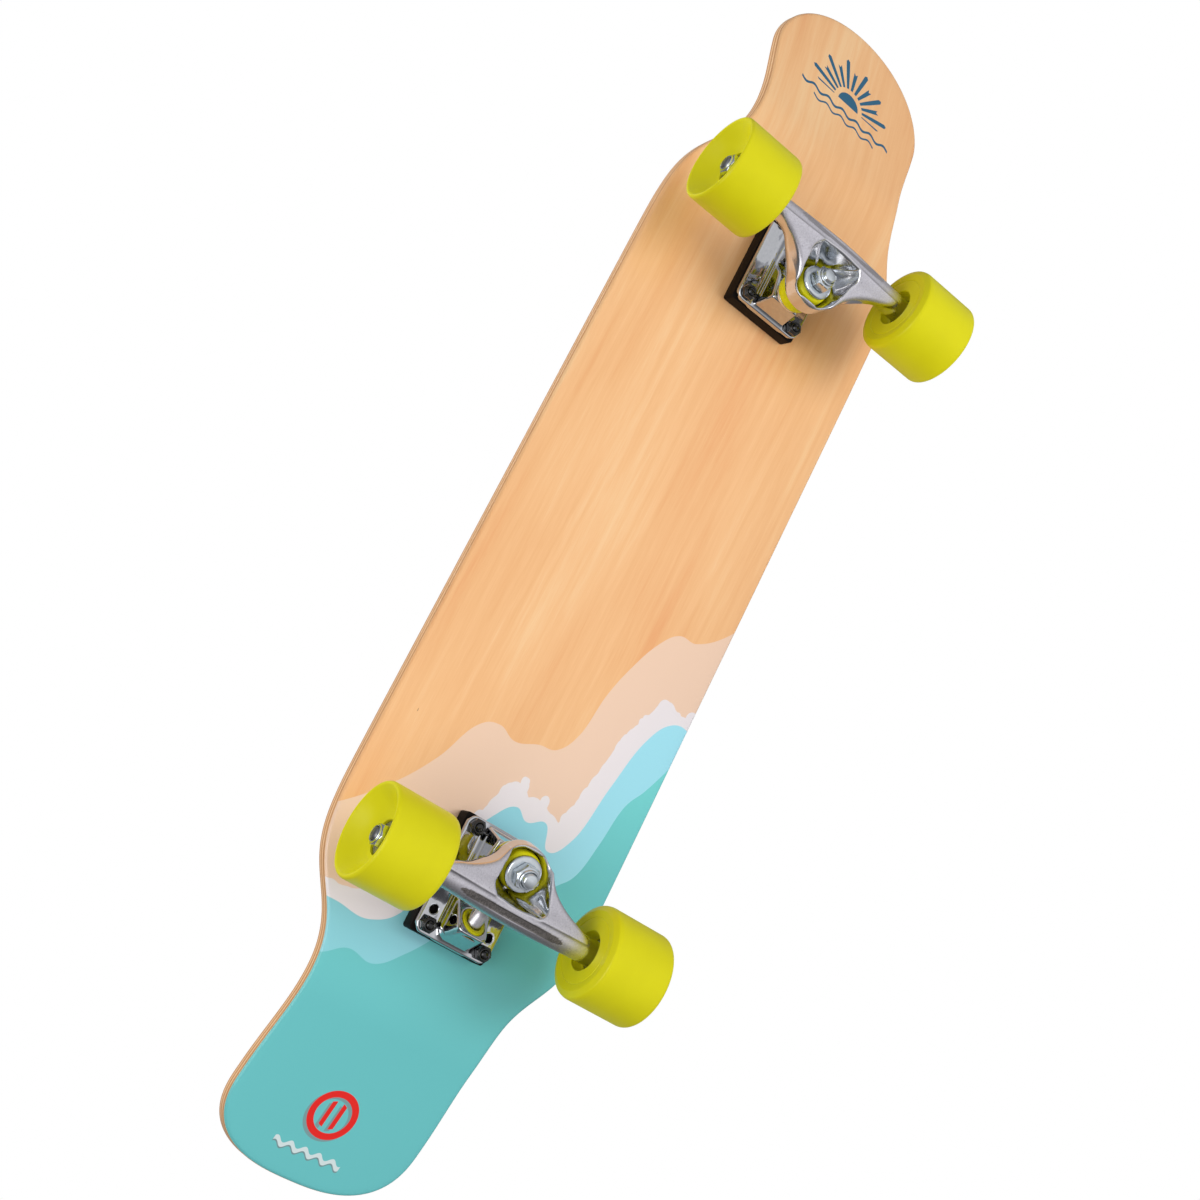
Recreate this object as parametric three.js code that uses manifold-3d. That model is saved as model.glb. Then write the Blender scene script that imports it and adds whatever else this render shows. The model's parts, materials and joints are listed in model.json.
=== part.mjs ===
// A cut-out cruiser skateboard: a pressed maple deck with a kick at each end, grip tape,
// two kingpin trucks on riser pads, and four soft urethane wheels on ball bearings.
//
// Millimetres, +Z up, +X towards the nose, +Y towards the rider's left.
// The board stands on its wheels: z = 0 is the ground under them, and the origin is below
// the middle of the deck.

import * as THREE from "three";
import { mergeVertices } from "three/addons/utils/BufferGeometryUtils.js";
import Module from "manifold-3d";

// ---------------------------------------------------------------- driving dimensions

const GAP = 0.3; // clearance kept between neighbouring pieces

const WHEEL_RADIUS = 30;
const WHEEL_WIDTH = 45;
const WHEEL_CENTRE_Y = 80;

const WHEELBASE = 451; // between the centres of the two baseplates
const TRUCK_MIDDLE_X = -7; // the trucks sit a little nearer the tail

const BOLT_X = 31.75; // half of the 63.5 mm hole spacing along the board
const BOLT_Y = 20.64; // half of the 41.28 mm hole spacing across it
const SPARE_HOLE_X = 22.22; // the shorter second pattern, used at the pivot end only

// The deck.
const DECK = {
  halfLength: 431,
  underside: 89.5, // height of its flat middle above the ground
  thickness: 10.5,
  edge: 1.5,
  flatHalfWidth: 24,
  concaveRise: 8.1,
  middleHalfWidth: 98,
  waistAt: 272, // where the body has narrowed halfway to the neck
  waistLength: 13,
};
const NOSE = { neck: 65, lobe: 68.3, roundFrom: 375, roundness: 2.0, kickFrom: 293, bend: 32, slope: 0.325 };
const TAIL = { neck: 63.4, lobe: 65.2, roundFrom: 385, roundness: 2.6, kickFrom: 300, bend: 31, slope: 0.31 };
const GRIP = { lift: 0.5, thickness: 0.9, inset: 1.8, edge: 0.3 };

// The truck, in its own frame: x from the baseplate's centre towards the board's middle, z from the ground.
const RISER = { length: 77, width: 55, corner: 2 };
const FLANGE = { length: 76, width: 54, thickness: 4, corner: 6 };
const FLANGE_TOP = 78.2;
const FLANGE_BOTTOM = FLANGE_TOP - FLANGE.thickness;

// The kingpin frame: its origin is the middle of the hanger's ring, z runs up the kingpin
// towards the deck, and x runs square to it, towards the board's middle and slightly down.
const KINGPIN_LEAN = THREE.MathUtils.degToRad(15);
const RING_X = 19.67;
const RING_Z = 44.55;
const RING_TOP = 3;
const RING_SEAT = -2.5;
const BOSS_FACE = 15.5;

// The pivot frame has the same origin; its x is the steering axis, which rises to the pivot.
const PIVOT_LEAN = THREE.MathUtils.degToRad(24);
const PIVOT_TIP = -47;
const CUP_MOUTH = -42; // where the slanting mouth of the pivot cup crosses the axis
const CUP_SLANT = THREE.MathUtils.degToRad(24);

const AXLE = { x: -4.3, z: WHEEL_RADIUS, radius: 4, halfLength: 97.5, nutAt: 94.1 }; // in the truck's frame
const HANGER_HALF_LENGTH = 64.75;
const GROOVE_TURN = THREE.MathUtils.degToRad(13); // the groove's place round the beam
const WHEEL_SIDES = 24;

const KINGPIN_RADIUS = 4.7;
const BEARING = { outer: 11, width: 7, innerAt: 69.5, outerAt: 86.5 };

// ---------------------------------------------------------------- materials

function finish(color, roughness, metalness = 0) {
  return () => new THREE.MeshStandardMaterial({ color, roughness, metalness });
}

const maple = finish(0xe3ae7a, 0.45);
const gripTape = finish(0x1c1c1d, 0.95);
const blackRubber = finish(0x17130f, 0.7);
const chrome = finish(0xb9bcc0, 0.12, 1);
const castAluminium = finish(0xa9a7a8, 0.38, 1);
const limeUrethane = finish(0xd8d41a, 0.4);
const zincSteel = finish(0xc2c8cc, 0.28, 1);
const axleSteel = finish(0x9a9b9d, 0.35, 1);
const bearingSteel = finish(0x8d8f92, 0.3, 1);
const blackSteel = finish(0x141414, 0.35, 0.6);

// ---------------------------------------------------------------- shape helpers

const wasm = await Module();
wasm.setup();

// A closed geometry as a solid that can be joined and cut.
function solid(geometry) {
  const bare = geometry.index ? geometry.toNonIndexed() : geometry.clone();
  bare.deleteAttribute("normal");
  bare.deleteAttribute("uv");
  const merged = mergeVertices(bare, 1e-4);
  return new wasm.Manifold(
    new wasm.Mesh({
      numProp: 3,
      vertProperties: merged.attributes.position.array,
      triVerts: new Uint32Array(merged.index.array),
    }),
  );
}

// A solid back as a geometry.
function geometryOf(made) {
  const mesh = made.getMesh();
  const indexed = new THREE.BufferGeometry();
  indexed.setAttribute("position", new THREE.BufferAttribute(mesh.vertProperties, 3));
  indexed.setIndex(new THREE.BufferAttribute(mesh.triVerts, 1));
  const flat = indexed.toNonIndexed();
  flat.computeVertexNormals();
  return flat;
}

function arc(x, y, radius, fromDegrees, toDegrees, steps) {
  const points = [];
  for (let i = 0; i <= steps; i++) {
    const angle = THREE.MathUtils.degToRad(fromDegrees + ((toDegrees - fromDegrees) * i) / steps);
    points.push(new THREE.Vector2(x + radius * Math.cos(angle), y + radius * Math.sin(angle)));
  }
  return points;
}

function circle(x, y, radius, steps = 12) {
  return arc(x, y, radius, 0, 360, steps).slice(0, -1);
}

function roundedRectangle(length, width, corner) {
  const x = length / 2 - corner;
  const y = width / 2 - corner;
  return [
    ...arc(x, y, corner, 0, 90, 3),
    ...arc(-x, y, corner, 90, 180, 3),
    ...arc(-x, -y, corner, 180, 270, 3),
    ...arc(x, -y, corner, 270, 360, 3),
  ];
}

function hexagon(acrossFlats) {
  return circle(0, 0, acrossFlats / Math.sqrt(3), 6);
}

function points2(pairs) {
  return pairs.map(([x, y]) => new THREE.Vector2(x, y));
}

// An outline with holes, raised from z = low to z = high.
function extrudeZ(outline, low, high, holes = []) {
  const shape = new THREE.Shape(outline);
  holes.forEach((hole) => shape.holes.push(new THREE.Path(hole)));
  const geometry = new THREE.ExtrudeGeometry(shape, { depth: high - low, bevelEnabled: false });
  return geometry.translate(0, 0, low);
}

// A side outline in x and z, carried across the board from -halfWidth to +halfWidth.
function extrudeY(outline, halfWidth) {
  return extrudeZ(outline, -halfWidth, halfWidth).rotateX(Math.PI / 2);
}

// A profile of [radius, height] pairs turned about z. It runs anticlockwise, so its faces point out.
function turnedZ(profile, segments) {
  return turnedY(profile, segments).rotateX(Math.PI / 2);
}

function turnedY(profile, segments) {
  return new THREE.LatheGeometry(points2(profile), segments);
}

function turnedX(profile, segments) {
  return turnedY(profile, segments).rotateZ(-Math.PI / 2);
}

function rod(radius, low, high) {
  return [
    [0, low],
    [radius, low],
    [radius, high],
    [0, high],
  ];
}

function ring(inner, outer, low, high) {
  return [
    [inner, low],
    [outer, low],
    [outer, high],
    [inner, high],
    [inner, low],
  ];
}

// Rings of equal point counts, joined into one closed body from the first ring to the last.
function loftRings(rings) {
  const count = rings[0].length;
  const corners = rings.flat();
  const faces = [];
  for (let i = 0; i + 1 < rings.length; i++) {
    for (let j = 0; j < count; j++) {
      const a = i * count + j;
      const b = i * count + ((j + 1) % count);
      faces.push(a, b, b + count, a, b + count, a + count);
    }
  }
  const last = (rings.length - 1) * count;
  for (let j = 1; j + 1 < count; j++) {
    faces.push(0, j + 1, j);
    faces.push(last, last + j, last + j + 1);
  }
  return new THREE.BufferGeometry().setFromPoints(corners).setIndex(faces);
}

// The kingpin frame or the pivot frame, in the truck's frame.
function leaningFrame(lean) {
  const frame = new THREE.Group();
  frame.position.set(RING_X, 0, RING_Z);
  frame.rotation.y = lean;
  frame.updateMatrix();
  return frame;
}

// A point of a leaning frame's side view, in the truck's frame.
function fromLeaning(lean, x, z) {
  const point = new THREE.Vector3(x, 0, z).applyMatrix4(leaningFrame(lean).matrix);
  return [point.x, point.z];
}

// The axle's middle, in the kingpin frame.
function axleMiddle() {
  return new THREE.Vector3(AXLE.x, 0, AXLE.z).applyMatrix4(leaningFrame(KINGPIN_LEAN).matrix.invert());
}

// ---------------------------------------------------------------- deck and grip tape

function deckEnd(x) {
  return x > 0 ? NOSE : TAIL;
}

function smooth(t) {
  const s = THREE.MathUtils.clamp(t, 0, 1);
  return s * s * (3 - 2 * s);
}

// Half the deck's width: a straight body, an S-curve in to the neck beside the wheels,
// and a slightly wider lobe with a round end.
function halfWidth(x) {
  const end = deckEnd(x);
  const along = Math.abs(x);
  const body = 1 / (1 + Math.exp((along - DECK.waistAt) / DECK.waistLength));
  const lobe = smooth((along - 330) / 50);
  const width = end.neck + (DECK.middleHalfWidth - end.neck) * body + (end.lobe - end.neck) * lobe;
  const past = Math.max(0, along - end.roundFrom) / (DECK.halfLength - end.roundFrom);
  const round = Math.max(0, 1 - past ** end.roundness) ** (1 / end.roundness);
  return Math.max(4, width * round);
}

// Each end bends up over a short curve, then rises straight.
function kick(x) {
  const end = deckEnd(x);
  const past = Math.max(0, Math.abs(x) - end.kickFrom);
  return past < end.bend ? (end.slope * past ** 2) / (2 * end.bend) : end.slope * (past - end.bend / 2);
}

// The edges rise from a flat middle strip, less towards the ends.
function concave(x, y) {
  const out = Math.max(0, Math.abs(y) - DECK.flatHalfWidth) / (DECK.middleHalfWidth - DECK.flatHalfWidth);
  const fade = 1 - 0.6 * smooth((Math.abs(x) - 205) / 85);
  return DECK.concaveRise * fade * out ** 2;
}

function undersideAt(x, y) {
  return DECK.underside + kick(x) + concave(x, y);
}

// Where the deck's cross-sections stand, closer together where the outline or the height turns.
function stations(tip) {
  const half = [100, 200, 230, 250, 264, 278, 293, 308, 324, 345, 372, 393, 408, 419, 426];
  const positive = [...half, tip];
  return [...positive.map((x) => -x).reverse(), ...positive];
}

// A plate that follows the deck's surface, lift above its underside, with chamfered edges.
function plate(lift, thickness, inset, edge) {
  const across = [0, 0.4, 0.75, 1];
  const rings = stations(DECK.halfLength - inset).map((x) => {
    const width = halfWidth(x) - inset;
    const flat = Math.min(DECK.flatHalfWidth, width * 0.45);
    const right = across.map((t) => flat + (width - edge - flat) * t);
    const columns = [...right.map((y) => -y).reverse(), ...right];
    const point = (y, up) => new THREE.Vector3(x, y, undersideAt(x, y) + lift + up);
    return [
      ...columns.map((y) => point(y, 0)),
      point(width, edge),
      point(width, thickness - edge),
      ...columns.reverse().map((y) => point(y, thickness)),
      point(-width, thickness - edge),
      point(-width, edge),
    ];
  });
  return loftBands(rings);
}

// Closed cross-sections along x, joined side by side; each end is closed by a strip
// between its lower and its upper edge.
function loftBands(rings) {
  const count = rings[0].length;
  const faces = [];
  for (let i = 0; i + 1 < rings.length; i++) {
    for (let j = 0; j < count; j++) {
      const a = i * count + j;
      const b = i * count + ((j + 1) % count);
      faces.push(a, b, a + count, b, b + count, a + count);
    }
  }
  const half = count / 2;
  const last = (rings.length - 1) * count;
  const lower = (k) => (k + count - 1) % count;
  const upper = (k) => count - 2 - k;
  for (let k = 0; k + 1 < half; k++) {
    const strip = [lower(k), lower(k + 1), upper(k + 1), upper(k)];
    const [a, b, c, d] = strip.map((corner) => corner + last);
    faces.push(a, b, c, a, c, d);
    faces.push(strip[0], strip[2], strip[1], strip[0], strip[3], strip[2]);
  }
  return new THREE.BufferGeometry().setFromPoints(rings.flat()).setIndex(faces);
}

function truckCentres() {
  return [TRUCK_MIDDLE_X - WHEELBASE / 2, TRUCK_MIDDLE_X + WHEELBASE / 2];
}

function boltPlaces() {
  return [
    [BOLT_X, BOLT_Y],
    [BOLT_X, -BOLT_Y],
    [-BOLT_X, BOLT_Y],
    [-BOLT_X, -BOLT_Y],
  ];
}

const DECK_TOP = DECK.underside + DECK.thickness;
const BOLT = { radius: 2.45, head: 4.6, headTop: DECK_TOP + 1.1, headFrom: DECK_TOP - 1.7, end: 68.4 };

function withBoltHoles(geometry, drill) {
  let made = solid(geometry);
  for (const centre of truckCentres()) {
    for (const [x, y] of boltPlaces()) {
      made = made.subtract(solid(turnedZ(drill, 8).translate(centre + x, y, 0)));
    }
  }
  return geometryOf(made);
}

function deck() {
  const countersunk = [
    [0, DECK.underside - 5],
    [2.8, DECK.underside - 5],
    [2.8, DECK_TOP - 2.2],
    [5, DECK_TOP],
    [5, DECK_TOP + 5],
    [0, DECK_TOP + 5],
  ];
  return withBoltHoles(plate(0, DECK.thickness, 0, DECK.edge), countersunk);
}

function grip() {
  const sheet = plate(DECK.thickness + GRIP.lift, GRIP.thickness, GRIP.inset, GRIP.edge);
  return withBoltHoles(sheet, rod(5, DECK_TOP - 2, DECK_TOP + 5));
}

// ---------------------------------------------------------------- riser pad and baseplate

function riserPad() {
  const holes = boltPlaces().map(([x, y]) => circle(x, y, 2.9, 8));
  const outline = roundedRectangle(RISER.length, RISER.width, RISER.corner);
  return extrudeZ(outline, FLANGE_TOP + GAP, DECK.underside - GAP, holes);
}

// A flange with six holes; a tapered boss that the kingpin comes through; and a pivot
// housing with a bore along the steering axis for the pivot cup.
function baseplate() {
  const spare = [
    [-SPARE_HOLE_X, BOLT_Y],
    [-SPARE_HOLE_X, -BOLT_Y],
  ];
  const holes = [...boltPlaces(), ...spare].map(([x, y]) => circle(x, y, 2.8, 8));
  const outline = roundedRectangle(FLANGE.length, FLANGE.width, FLANGE.corner);
  const flange = extrudeZ(outline, FLANGE_BOTTOM, FLANGE_TOP, holes);

  const root = FLANGE_BOTTOM + 1;
  const reach = 10.2 * Math.tan(CUP_SLANT);
  const side = points2([
    [-37, root],
    fromLeaning(PIVOT_LEAN, CUP_MOUTH - reach - 0.5, -10.2),
    fromLeaning(PIVOT_LEAN, CUP_MOUTH - reach, -10.2),
    fromLeaning(PIVOT_LEAN, CUP_MOUTH + reach, 10.2),
    [6, 70.5],
    fromLeaning(KINGPIN_LEAN, -13, BOSS_FACE),
    fromLeaning(KINGPIN_LEAN, 9.5, BOSS_FACE),
    [37, root],
  ]);
  const front = points2([
    [-14.6, root],
    [-10.8, 43],
    [10.8, 43],
    [14.6, root],
  ]);
  const acrossBoard = extrudeY(front, 40).rotateZ(Math.PI / 2);
  const body = solid(extrudeY(side, 30)).intersect(solid(acrossBoard));

  const upright = leaningFrame(KINGPIN_LEAN).matrix;
  const pin = turnedZ(rod(KINGPIN_RADIUS + 0.6, 0, 40), 12).applyMatrix4(upright);
  const head = turnedZ(rod(7.9, 25.2, 60), 12).applyMatrix4(upright);
  const bore = [
    [0, -49.8],
    [6.9, -49.8],
    [8.4, -46.8],
    [8.4, -30],
    [0, -30],
  ];
  const cup = turnedX(bore, 16).applyMatrix4(leaningFrame(PIVOT_LEAN).matrix);
  const made = solid(flange).add(body);
  return geometryOf(made.subtract(solid(pin)).subtract(solid(head)).subtract(solid(cup)));
}

// A plastic cup in the pivot housing, cut off at a slant so that its mouth faces the ground.
function pivotCup() {
  const profile = [
    [0, -49.5],
    [6.5, -49.5],
    [8, -46.5],
    [8, -34],
    [6, -34],
    [5.7, -44],
    [5.7, -47.6],
    [0, -47.6],
  ];
  const beyond = new THREE.BoxGeometry(40, 60, 60).translate(20, 0, 0);
  beyond.rotateY(CUP_SLANT).translate(CUP_MOUTH, 0, 0);
  return geometryOf(solid(turnedX(profile, 16)).subtract(solid(beyond)));
}

// ---------------------------------------------------------------- kingpin, washers and bushings

function kingpin() {
  const shank = [
    [0, -25],
    [3.9, -25],
    [KINGPIN_RADIUS, -24.2],
    [KINGPIN_RADIUS, 26],
    [0, 26],
  ];
  const head = extrudeZ(hexagon(13), 25.5, 31.5);
  return geometryOf(solid(turnedZ(shank, 12)).add(solid(head)));
}

function kingpinNut() {
  return extrudeZ(hexagon(14.3), -22.4, -13.6, [circle(0, 0, KINGPIN_RADIUS + 0.5, 12)]);
}

// Cup washers, whose rims turn over the ends of the bushings.
function roadWasher() {
  const profile = [
    [5.1, -13.3],
    [10, -13.3],
    [11.2, -12.3],
    [11.2, -10.4],
    [10.5, -10.4],
    [10.3, -11.7],
    [5.1, -11.7],
    [5.1, -13.3],
  ];
  return turnedZ(profile, 14);
}

function boardWasher() {
  const profile = [
    [5.1, BOSS_FACE - 1.8],
    [10.3, BOSS_FACE - 1.8],
    [10.5, BOSS_FACE - 3.1],
    [11.2, BOSS_FACE - 3.1],
    [11.2, BOSS_FACE - 1.3],
    [10, BOSS_FACE - GAP],
    [5.1, BOSS_FACE - GAP],
    [5.1, BOSS_FACE - 1.8],
  ];
  return turnedZ(profile, 14);
}

// A short tapered bushing on the road side of the ring, and a barrel on the board side.
function roadBushing() {
  const profile = [
    [5.2, -11.4],
    [9.9, -11.4],
    [10, -10.2],
    [12.2, -8],
    [12.7, RING_SEAT - GAP],
    [5.2, RING_SEAT - GAP],
    [5.2, -11.4],
  ];
  return turnedZ(profile, 16);
}

function boardBushing() {
  const profile = [
    [5.2, RING_TOP + GAP],
    [12, RING_TOP + GAP],
    [12.9, 5.5],
    [12.9, 9],
    [12, 11.5],
    [10, 12.3],
    [9.9, 13.4],
    [5.2, 13.4],
    [5.2, RING_TOP + GAP],
  ];
  return turnedZ(profile, 16);
}

// ---------------------------------------------------------------- hanger and axle

// One casting: an axle beam, a flat yoke that reaches in to the ring round the kingpin,
// and a round pivot stem on the steering axis, which rises from the yoke on a short neck.
function hanger() {
  const middle = axleMiddle();
  const arm = [
    [10.1, 8],
    [9.9, 25],
    [9.2, 44],
    [8.3, 58],
    [8.2, HANGER_HALF_LENGTH],
  ];
  const mirrored = arm.map(([radius, y]) => [radius, -y]).reverse();
  const beamProfile = [[0, -HANGER_HALF_LENGTH], ...mirrored, ...arm, [0, HANGER_HALF_LENGTH]];
  const beam = turnedY(beamProfile, 16).translate(middle.x, 0, middle.z);

  const flare = (side) => {
    const from = new THREE.Vector2(8.64, 16.25 * side);
    const through = new THREE.Vector2(-5.5, 23.8 * side);
    const to = new THREE.Vector2(-10.6, 52 * side);
    return new THREE.QuadraticBezierCurve(from, through, to).getPoints(5);
  };
  const plan = [
    new THREE.Vector2(middle.x, -52),
    ...flare(-1).reverse(),
    ...arc(0, 0, 18.4, -62, 62, 8).slice(1, -1),
    ...flare(1),
    new THREE.Vector2(middle.x, 52),
  ];
  const side = points2([
    [-11, RING_TOP],
    [middle.x, -8],
    [middle.x, -30.1],
    [-13.7, -29],
    [20.5, -6.5],
    [20.5, RING_TOP],
  ]);
  const front = points2([
    [-52, -40],
    [52, -40],
    [52, -14],
    [22, RING_TOP],
    [-22, RING_TOP],
    [-52, -14],
  ]);
  const frontSolid = solid(extrudeY(front, 45).rotateZ(Math.PI / 2));
  const yoke = solid(extrudeZ(plan, -45, 15)).intersect(solid(extrudeY(side, 60))).intersect(frontSolid);

  const stem = [
    [0, PIVOT_TIP],
    ...arc(0, PIVOT_TIP + 5, 5, -60, 0, 3).map((p) => [p.x, p.y]),
    [5, -36],
    [7.8, -25],
    [6, -17],
    [0, -15],
  ];

  const neck = points2([
    [-12, -8],
    [-14, 2.5],
    [-18, 6],
    [-30, 8],
    [-30, -2],
    [-24, -12],
  ]);

  const seat = turnedZ(rod(13.2, -45, RING_SEAT), 18);
  const pinHole = turnedZ(rod(7, -20, 20), 12);
  const bore = turnedY(rod(AXLE.radius + 0.4, -80, 80), 12).translate(middle.x, 0, middle.z);
  const groove = new THREE.BoxGeometry(3, 116, 5).translate(0, 0, -10.3).rotateY(GROOVE_TURN);
  groove.translate(middle.x, 0, middle.z);

  return geometryOf(
    solid(beam)
      .add(yoke)
      .add(solid(extrudeY(neck, 5.5)))
      .add(solid(turnedX(stem, 16).rotateY(PIVOT_LEAN - KINGPIN_LEAN)))
      .subtract(solid(pocket()))
      .subtract(solid(seat))
      .subtract(solid(pinHole))
      .subtract(solid(bore))
      .subtract(solid(groove)),
  );
}

// The hollow round the kingpin: from the bushing's seat it flares to a rounded triangle,
// whose rim lies on the yoke's sloping road side.
function pocket() {
  const right = [
    [12, 9],
    [9.6, 13],
    [2.8, 17.2],
    [-5, 19.4],
    [-10.6, 19.6],
    [-12.9, 17.2],
    [-14.9, 9],
  ];
  const left = right.map(([x, y]) => [x, -y]).reverse();
  const outline = [[14.6, 0], ...right, [-15.6, 0], ...left].map(([x, y]) => new THREE.Vector3(x, y, 0));
  const curve = new THREE.CatmullRomCurve3(outline, true);
  const rim = curve.getPoints(18).slice(0, -1);
  const slope = (29 - 6.5) / (20.5 + 13.7);
  const onRim = (p, down) => new THREE.Vector3(p.x, p.y, -6.5 - (20.5 - p.x) * slope - down);
  const atSeat = (p) => {
    const direction = p.clone().setLength(13.2);
    return new THREE.Vector3(direction.x, direction.y, -5);
  };
  const rings = [rim.map((p) => onRim(p, 20)), rim.map((p) => onRim(p, 0)), rim.map(atSeat)];
  return loftRings(rings);
}

function axle() {
  const { radius, halfLength } = AXLE;
  const profile = [
    [0, -halfLength],
    [radius - 0.7, -halfLength],
    [radius, 0.8 - halfLength],
    [radius, halfLength - 0.8],
    [radius - 0.7, halfLength],
    [0, halfLength],
  ];
  return turnedY(profile, 12);
}

// ---------------------------------------------------------------- wheels and what turns in them

// Cast urethane, turned about y, with its outer face towards +y: a deep dish with a round
// lip outside, a flat face with a wide hole for the hanger inside, and a seat for each bearing.
function wheel() {
  const edge = WHEEL_WIDTH / 2;
  const seat = BEARING.outer + GAP;
  const innerSeat = BEARING.innerAt - WHEEL_CENTRE_Y;
  const outerSeat = BEARING.outerAt - WHEEL_CENTRE_Y;
  const half = BEARING.width / 2 + GAP;
  const tread = WHEEL_RADIUS / Math.cos(Math.PI / WHEEL_SIDES); // so that a flat of it meets the ground
  const profile = [
    [12.7, -edge + 1],
    [25.8, -edge],
    [28.6, -edge + 1.6],
    [tread, -edge + 5],
    [tread, edge - 5],
    [29, edge - 1.9],
    [26.6, edge],
    [24.6, edge - 1],
    [20, edge - 6.4],
    [seat + 0.4, edge - 11.2],
    [seat, outerSeat - half],
    [9.5, outerSeat - half],
    [9.5, innerSeat + half],
    [seat, innerSeat + half],
    [seat, innerSeat - half],
    [12.7, innerSeat - half],
    [12.7, -edge + 1],
  ];
  return turnedY(profile, WHEEL_SIDES).rotateY(Math.PI / WHEEL_SIDES);
}

function bearing() {
  const half = BEARING.width / 2;
  return turnedY(ring(AXLE.radius + 0.4, BEARING.outer, -half, half), 14);
}

function bearingSpacer() {
  const half = (BEARING.outerAt - BEARING.innerAt - BEARING.width) / 2 - GAP;
  return turnedY(ring(AXLE.radius + 0.4, 6.2, -half, half), 10);
}

function axleNut() {
  return extrudeZ(hexagon(12.7), -2.8, 2.8, [circle(0, 0, AXLE.radius + 0.4, 12)]).rotateX(Math.PI / 2);
}

// ---------------------------------------------------------------- mounting bolts and nuts

function mountingBolt() {
  const { radius, head, headTop, headFrom, end } = BOLT;
  const profile = [
    [0, end],
    [radius - 0.5, end],
    [radius, end + 0.6],
    [radius, headFrom],
    [head, headFrom + head - radius],
    [head, headTop],
    [0, headTop],
  ];
  return turnedZ(profile, 8);
}

function mountingNut() {
  return extrudeZ(hexagon(9.4), FLANGE_BOTTOM - GAP - 4.8, FLANGE_BOTTOM - GAP, [
    circle(0, 0, BOLT.radius + 0.45, 8),
  ]);
}

// ---------------------------------------------------------------- assembly

const skateboard = new THREE.Group();

function put(group, name, geometry, material, place = [0, 0, 0], turnZ = 0) {
  const mesh = new THREE.Mesh(geometry, material());
  mesh.name = name;
  mesh.position.set(...place);
  mesh.rotation.z = turnZ;
  group.add(mesh);
}

put(skateboard, "deck", deck(), maple);
put(skateboard, "grip_tape", grip(), gripTape);

// towards is +1 where the truck's kingpin faces +x (the rear truck) and -1 at the front.
function addTruck(end, centre, towards) {
  const truck = new THREE.Group();
  truck.position.x = centre;
  truck.rotation.z = towards > 0 ? 0 : Math.PI;
  skateboard.add(truck);

  put(truck, `${end}_riser_pad`, riserPad(), blackRubber);
  put(truck, `${end}_baseplate`, baseplate(), chrome);
  boltPlaces().forEach(([x, y]) => {
    const place = `${x > 0 ? "inner" : "outer"}_${y * towards > 0 ? "left" : "right"}`;
    put(truck, `${end}_bolt_${place}`, mountingBolt(), blackSteel, [x, y, 0]);
    put(truck, `${end}_bolt_nut_${place}`, mountingNut(), blackSteel, [x, y, 0]);
  });

  const pin = leaningFrame(KINGPIN_LEAN);
  const pivot = leaningFrame(PIVOT_LEAN);
  truck.add(pin, pivot);
  put(pivot, `${end}_pivot_cup`, pivotCup(), limeUrethane);
  put(pin, `${end}_kingpin`, kingpin(), zincSteel);
  put(pin, `${end}_kingpin_nut`, kingpinNut(), zincSteel);
  put(pin, `${end}_road_washer`, roadWasher(), zincSteel);
  put(pin, `${end}_board_washer`, boardWasher(), zincSteel);
  put(pin, `${end}_road_bushing`, roadBushing(), limeUrethane);
  put(pin, `${end}_board_bushing`, boardBushing(), limeUrethane);
  put(pin, `${end}_hanger`, hanger(), castAluminium);
  put(truck, `${end}_axle`, axle(), axleSteel, [AXLE.x, 0, AXLE.z]);

  for (const side of [1, -1]) {
    const name = `${end}_${side * towards > 0 ? "left" : "right"}`;
    const turn = side > 0 ? 0 : Math.PI;
    const at = (y) => [AXLE.x, side * y, AXLE.z];
    put(truck, `${name}_wheel`, wheel(), limeUrethane, at(WHEEL_CENTRE_Y), turn);
    put(truck, `${name}_bearing_inner`, bearing(), bearingSteel, at(BEARING.innerAt));
    put(truck, `${name}_bearing_outer`, bearing(), bearingSteel, at(BEARING.outerAt));
    const between = (BEARING.innerAt + BEARING.outerAt) / 2;
    put(truck, `${name}_bearing_spacer`, bearingSpacer(), axleSteel, at(between));
    put(truck, `${name}_axle_nut`, axleNut(), zincSteel, at(AXLE.nutAt));
  }
}

const [rearCentre, frontCentre] = truckCentres();
addTruck("rear", rearCentre, 1);
addTruck("front", frontCentre, -1);

export default skateboard;
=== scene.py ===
import json
import math

import bmesh
import bpy
import numpy as np
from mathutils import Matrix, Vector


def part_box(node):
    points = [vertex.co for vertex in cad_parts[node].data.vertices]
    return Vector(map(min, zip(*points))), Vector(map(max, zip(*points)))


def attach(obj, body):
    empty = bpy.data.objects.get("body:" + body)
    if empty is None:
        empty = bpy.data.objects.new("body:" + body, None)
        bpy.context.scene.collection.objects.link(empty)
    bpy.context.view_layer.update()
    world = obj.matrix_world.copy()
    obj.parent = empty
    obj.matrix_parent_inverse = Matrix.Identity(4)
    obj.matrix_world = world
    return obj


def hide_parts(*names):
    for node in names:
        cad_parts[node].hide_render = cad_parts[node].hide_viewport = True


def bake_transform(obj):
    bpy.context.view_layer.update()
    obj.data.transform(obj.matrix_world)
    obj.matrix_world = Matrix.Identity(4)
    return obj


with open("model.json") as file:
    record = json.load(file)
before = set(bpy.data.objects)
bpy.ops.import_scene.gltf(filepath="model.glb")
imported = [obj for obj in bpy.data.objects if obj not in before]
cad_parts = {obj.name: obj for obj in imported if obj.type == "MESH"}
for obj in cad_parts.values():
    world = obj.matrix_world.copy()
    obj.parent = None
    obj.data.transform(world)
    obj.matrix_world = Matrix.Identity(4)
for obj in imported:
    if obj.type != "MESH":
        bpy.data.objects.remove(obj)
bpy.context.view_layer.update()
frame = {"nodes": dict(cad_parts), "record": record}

import openvdb
from mathutils import Quaternion, Vector

MM = 0.001  # lengths in this file are in millimetres until a mesh is made

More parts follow.
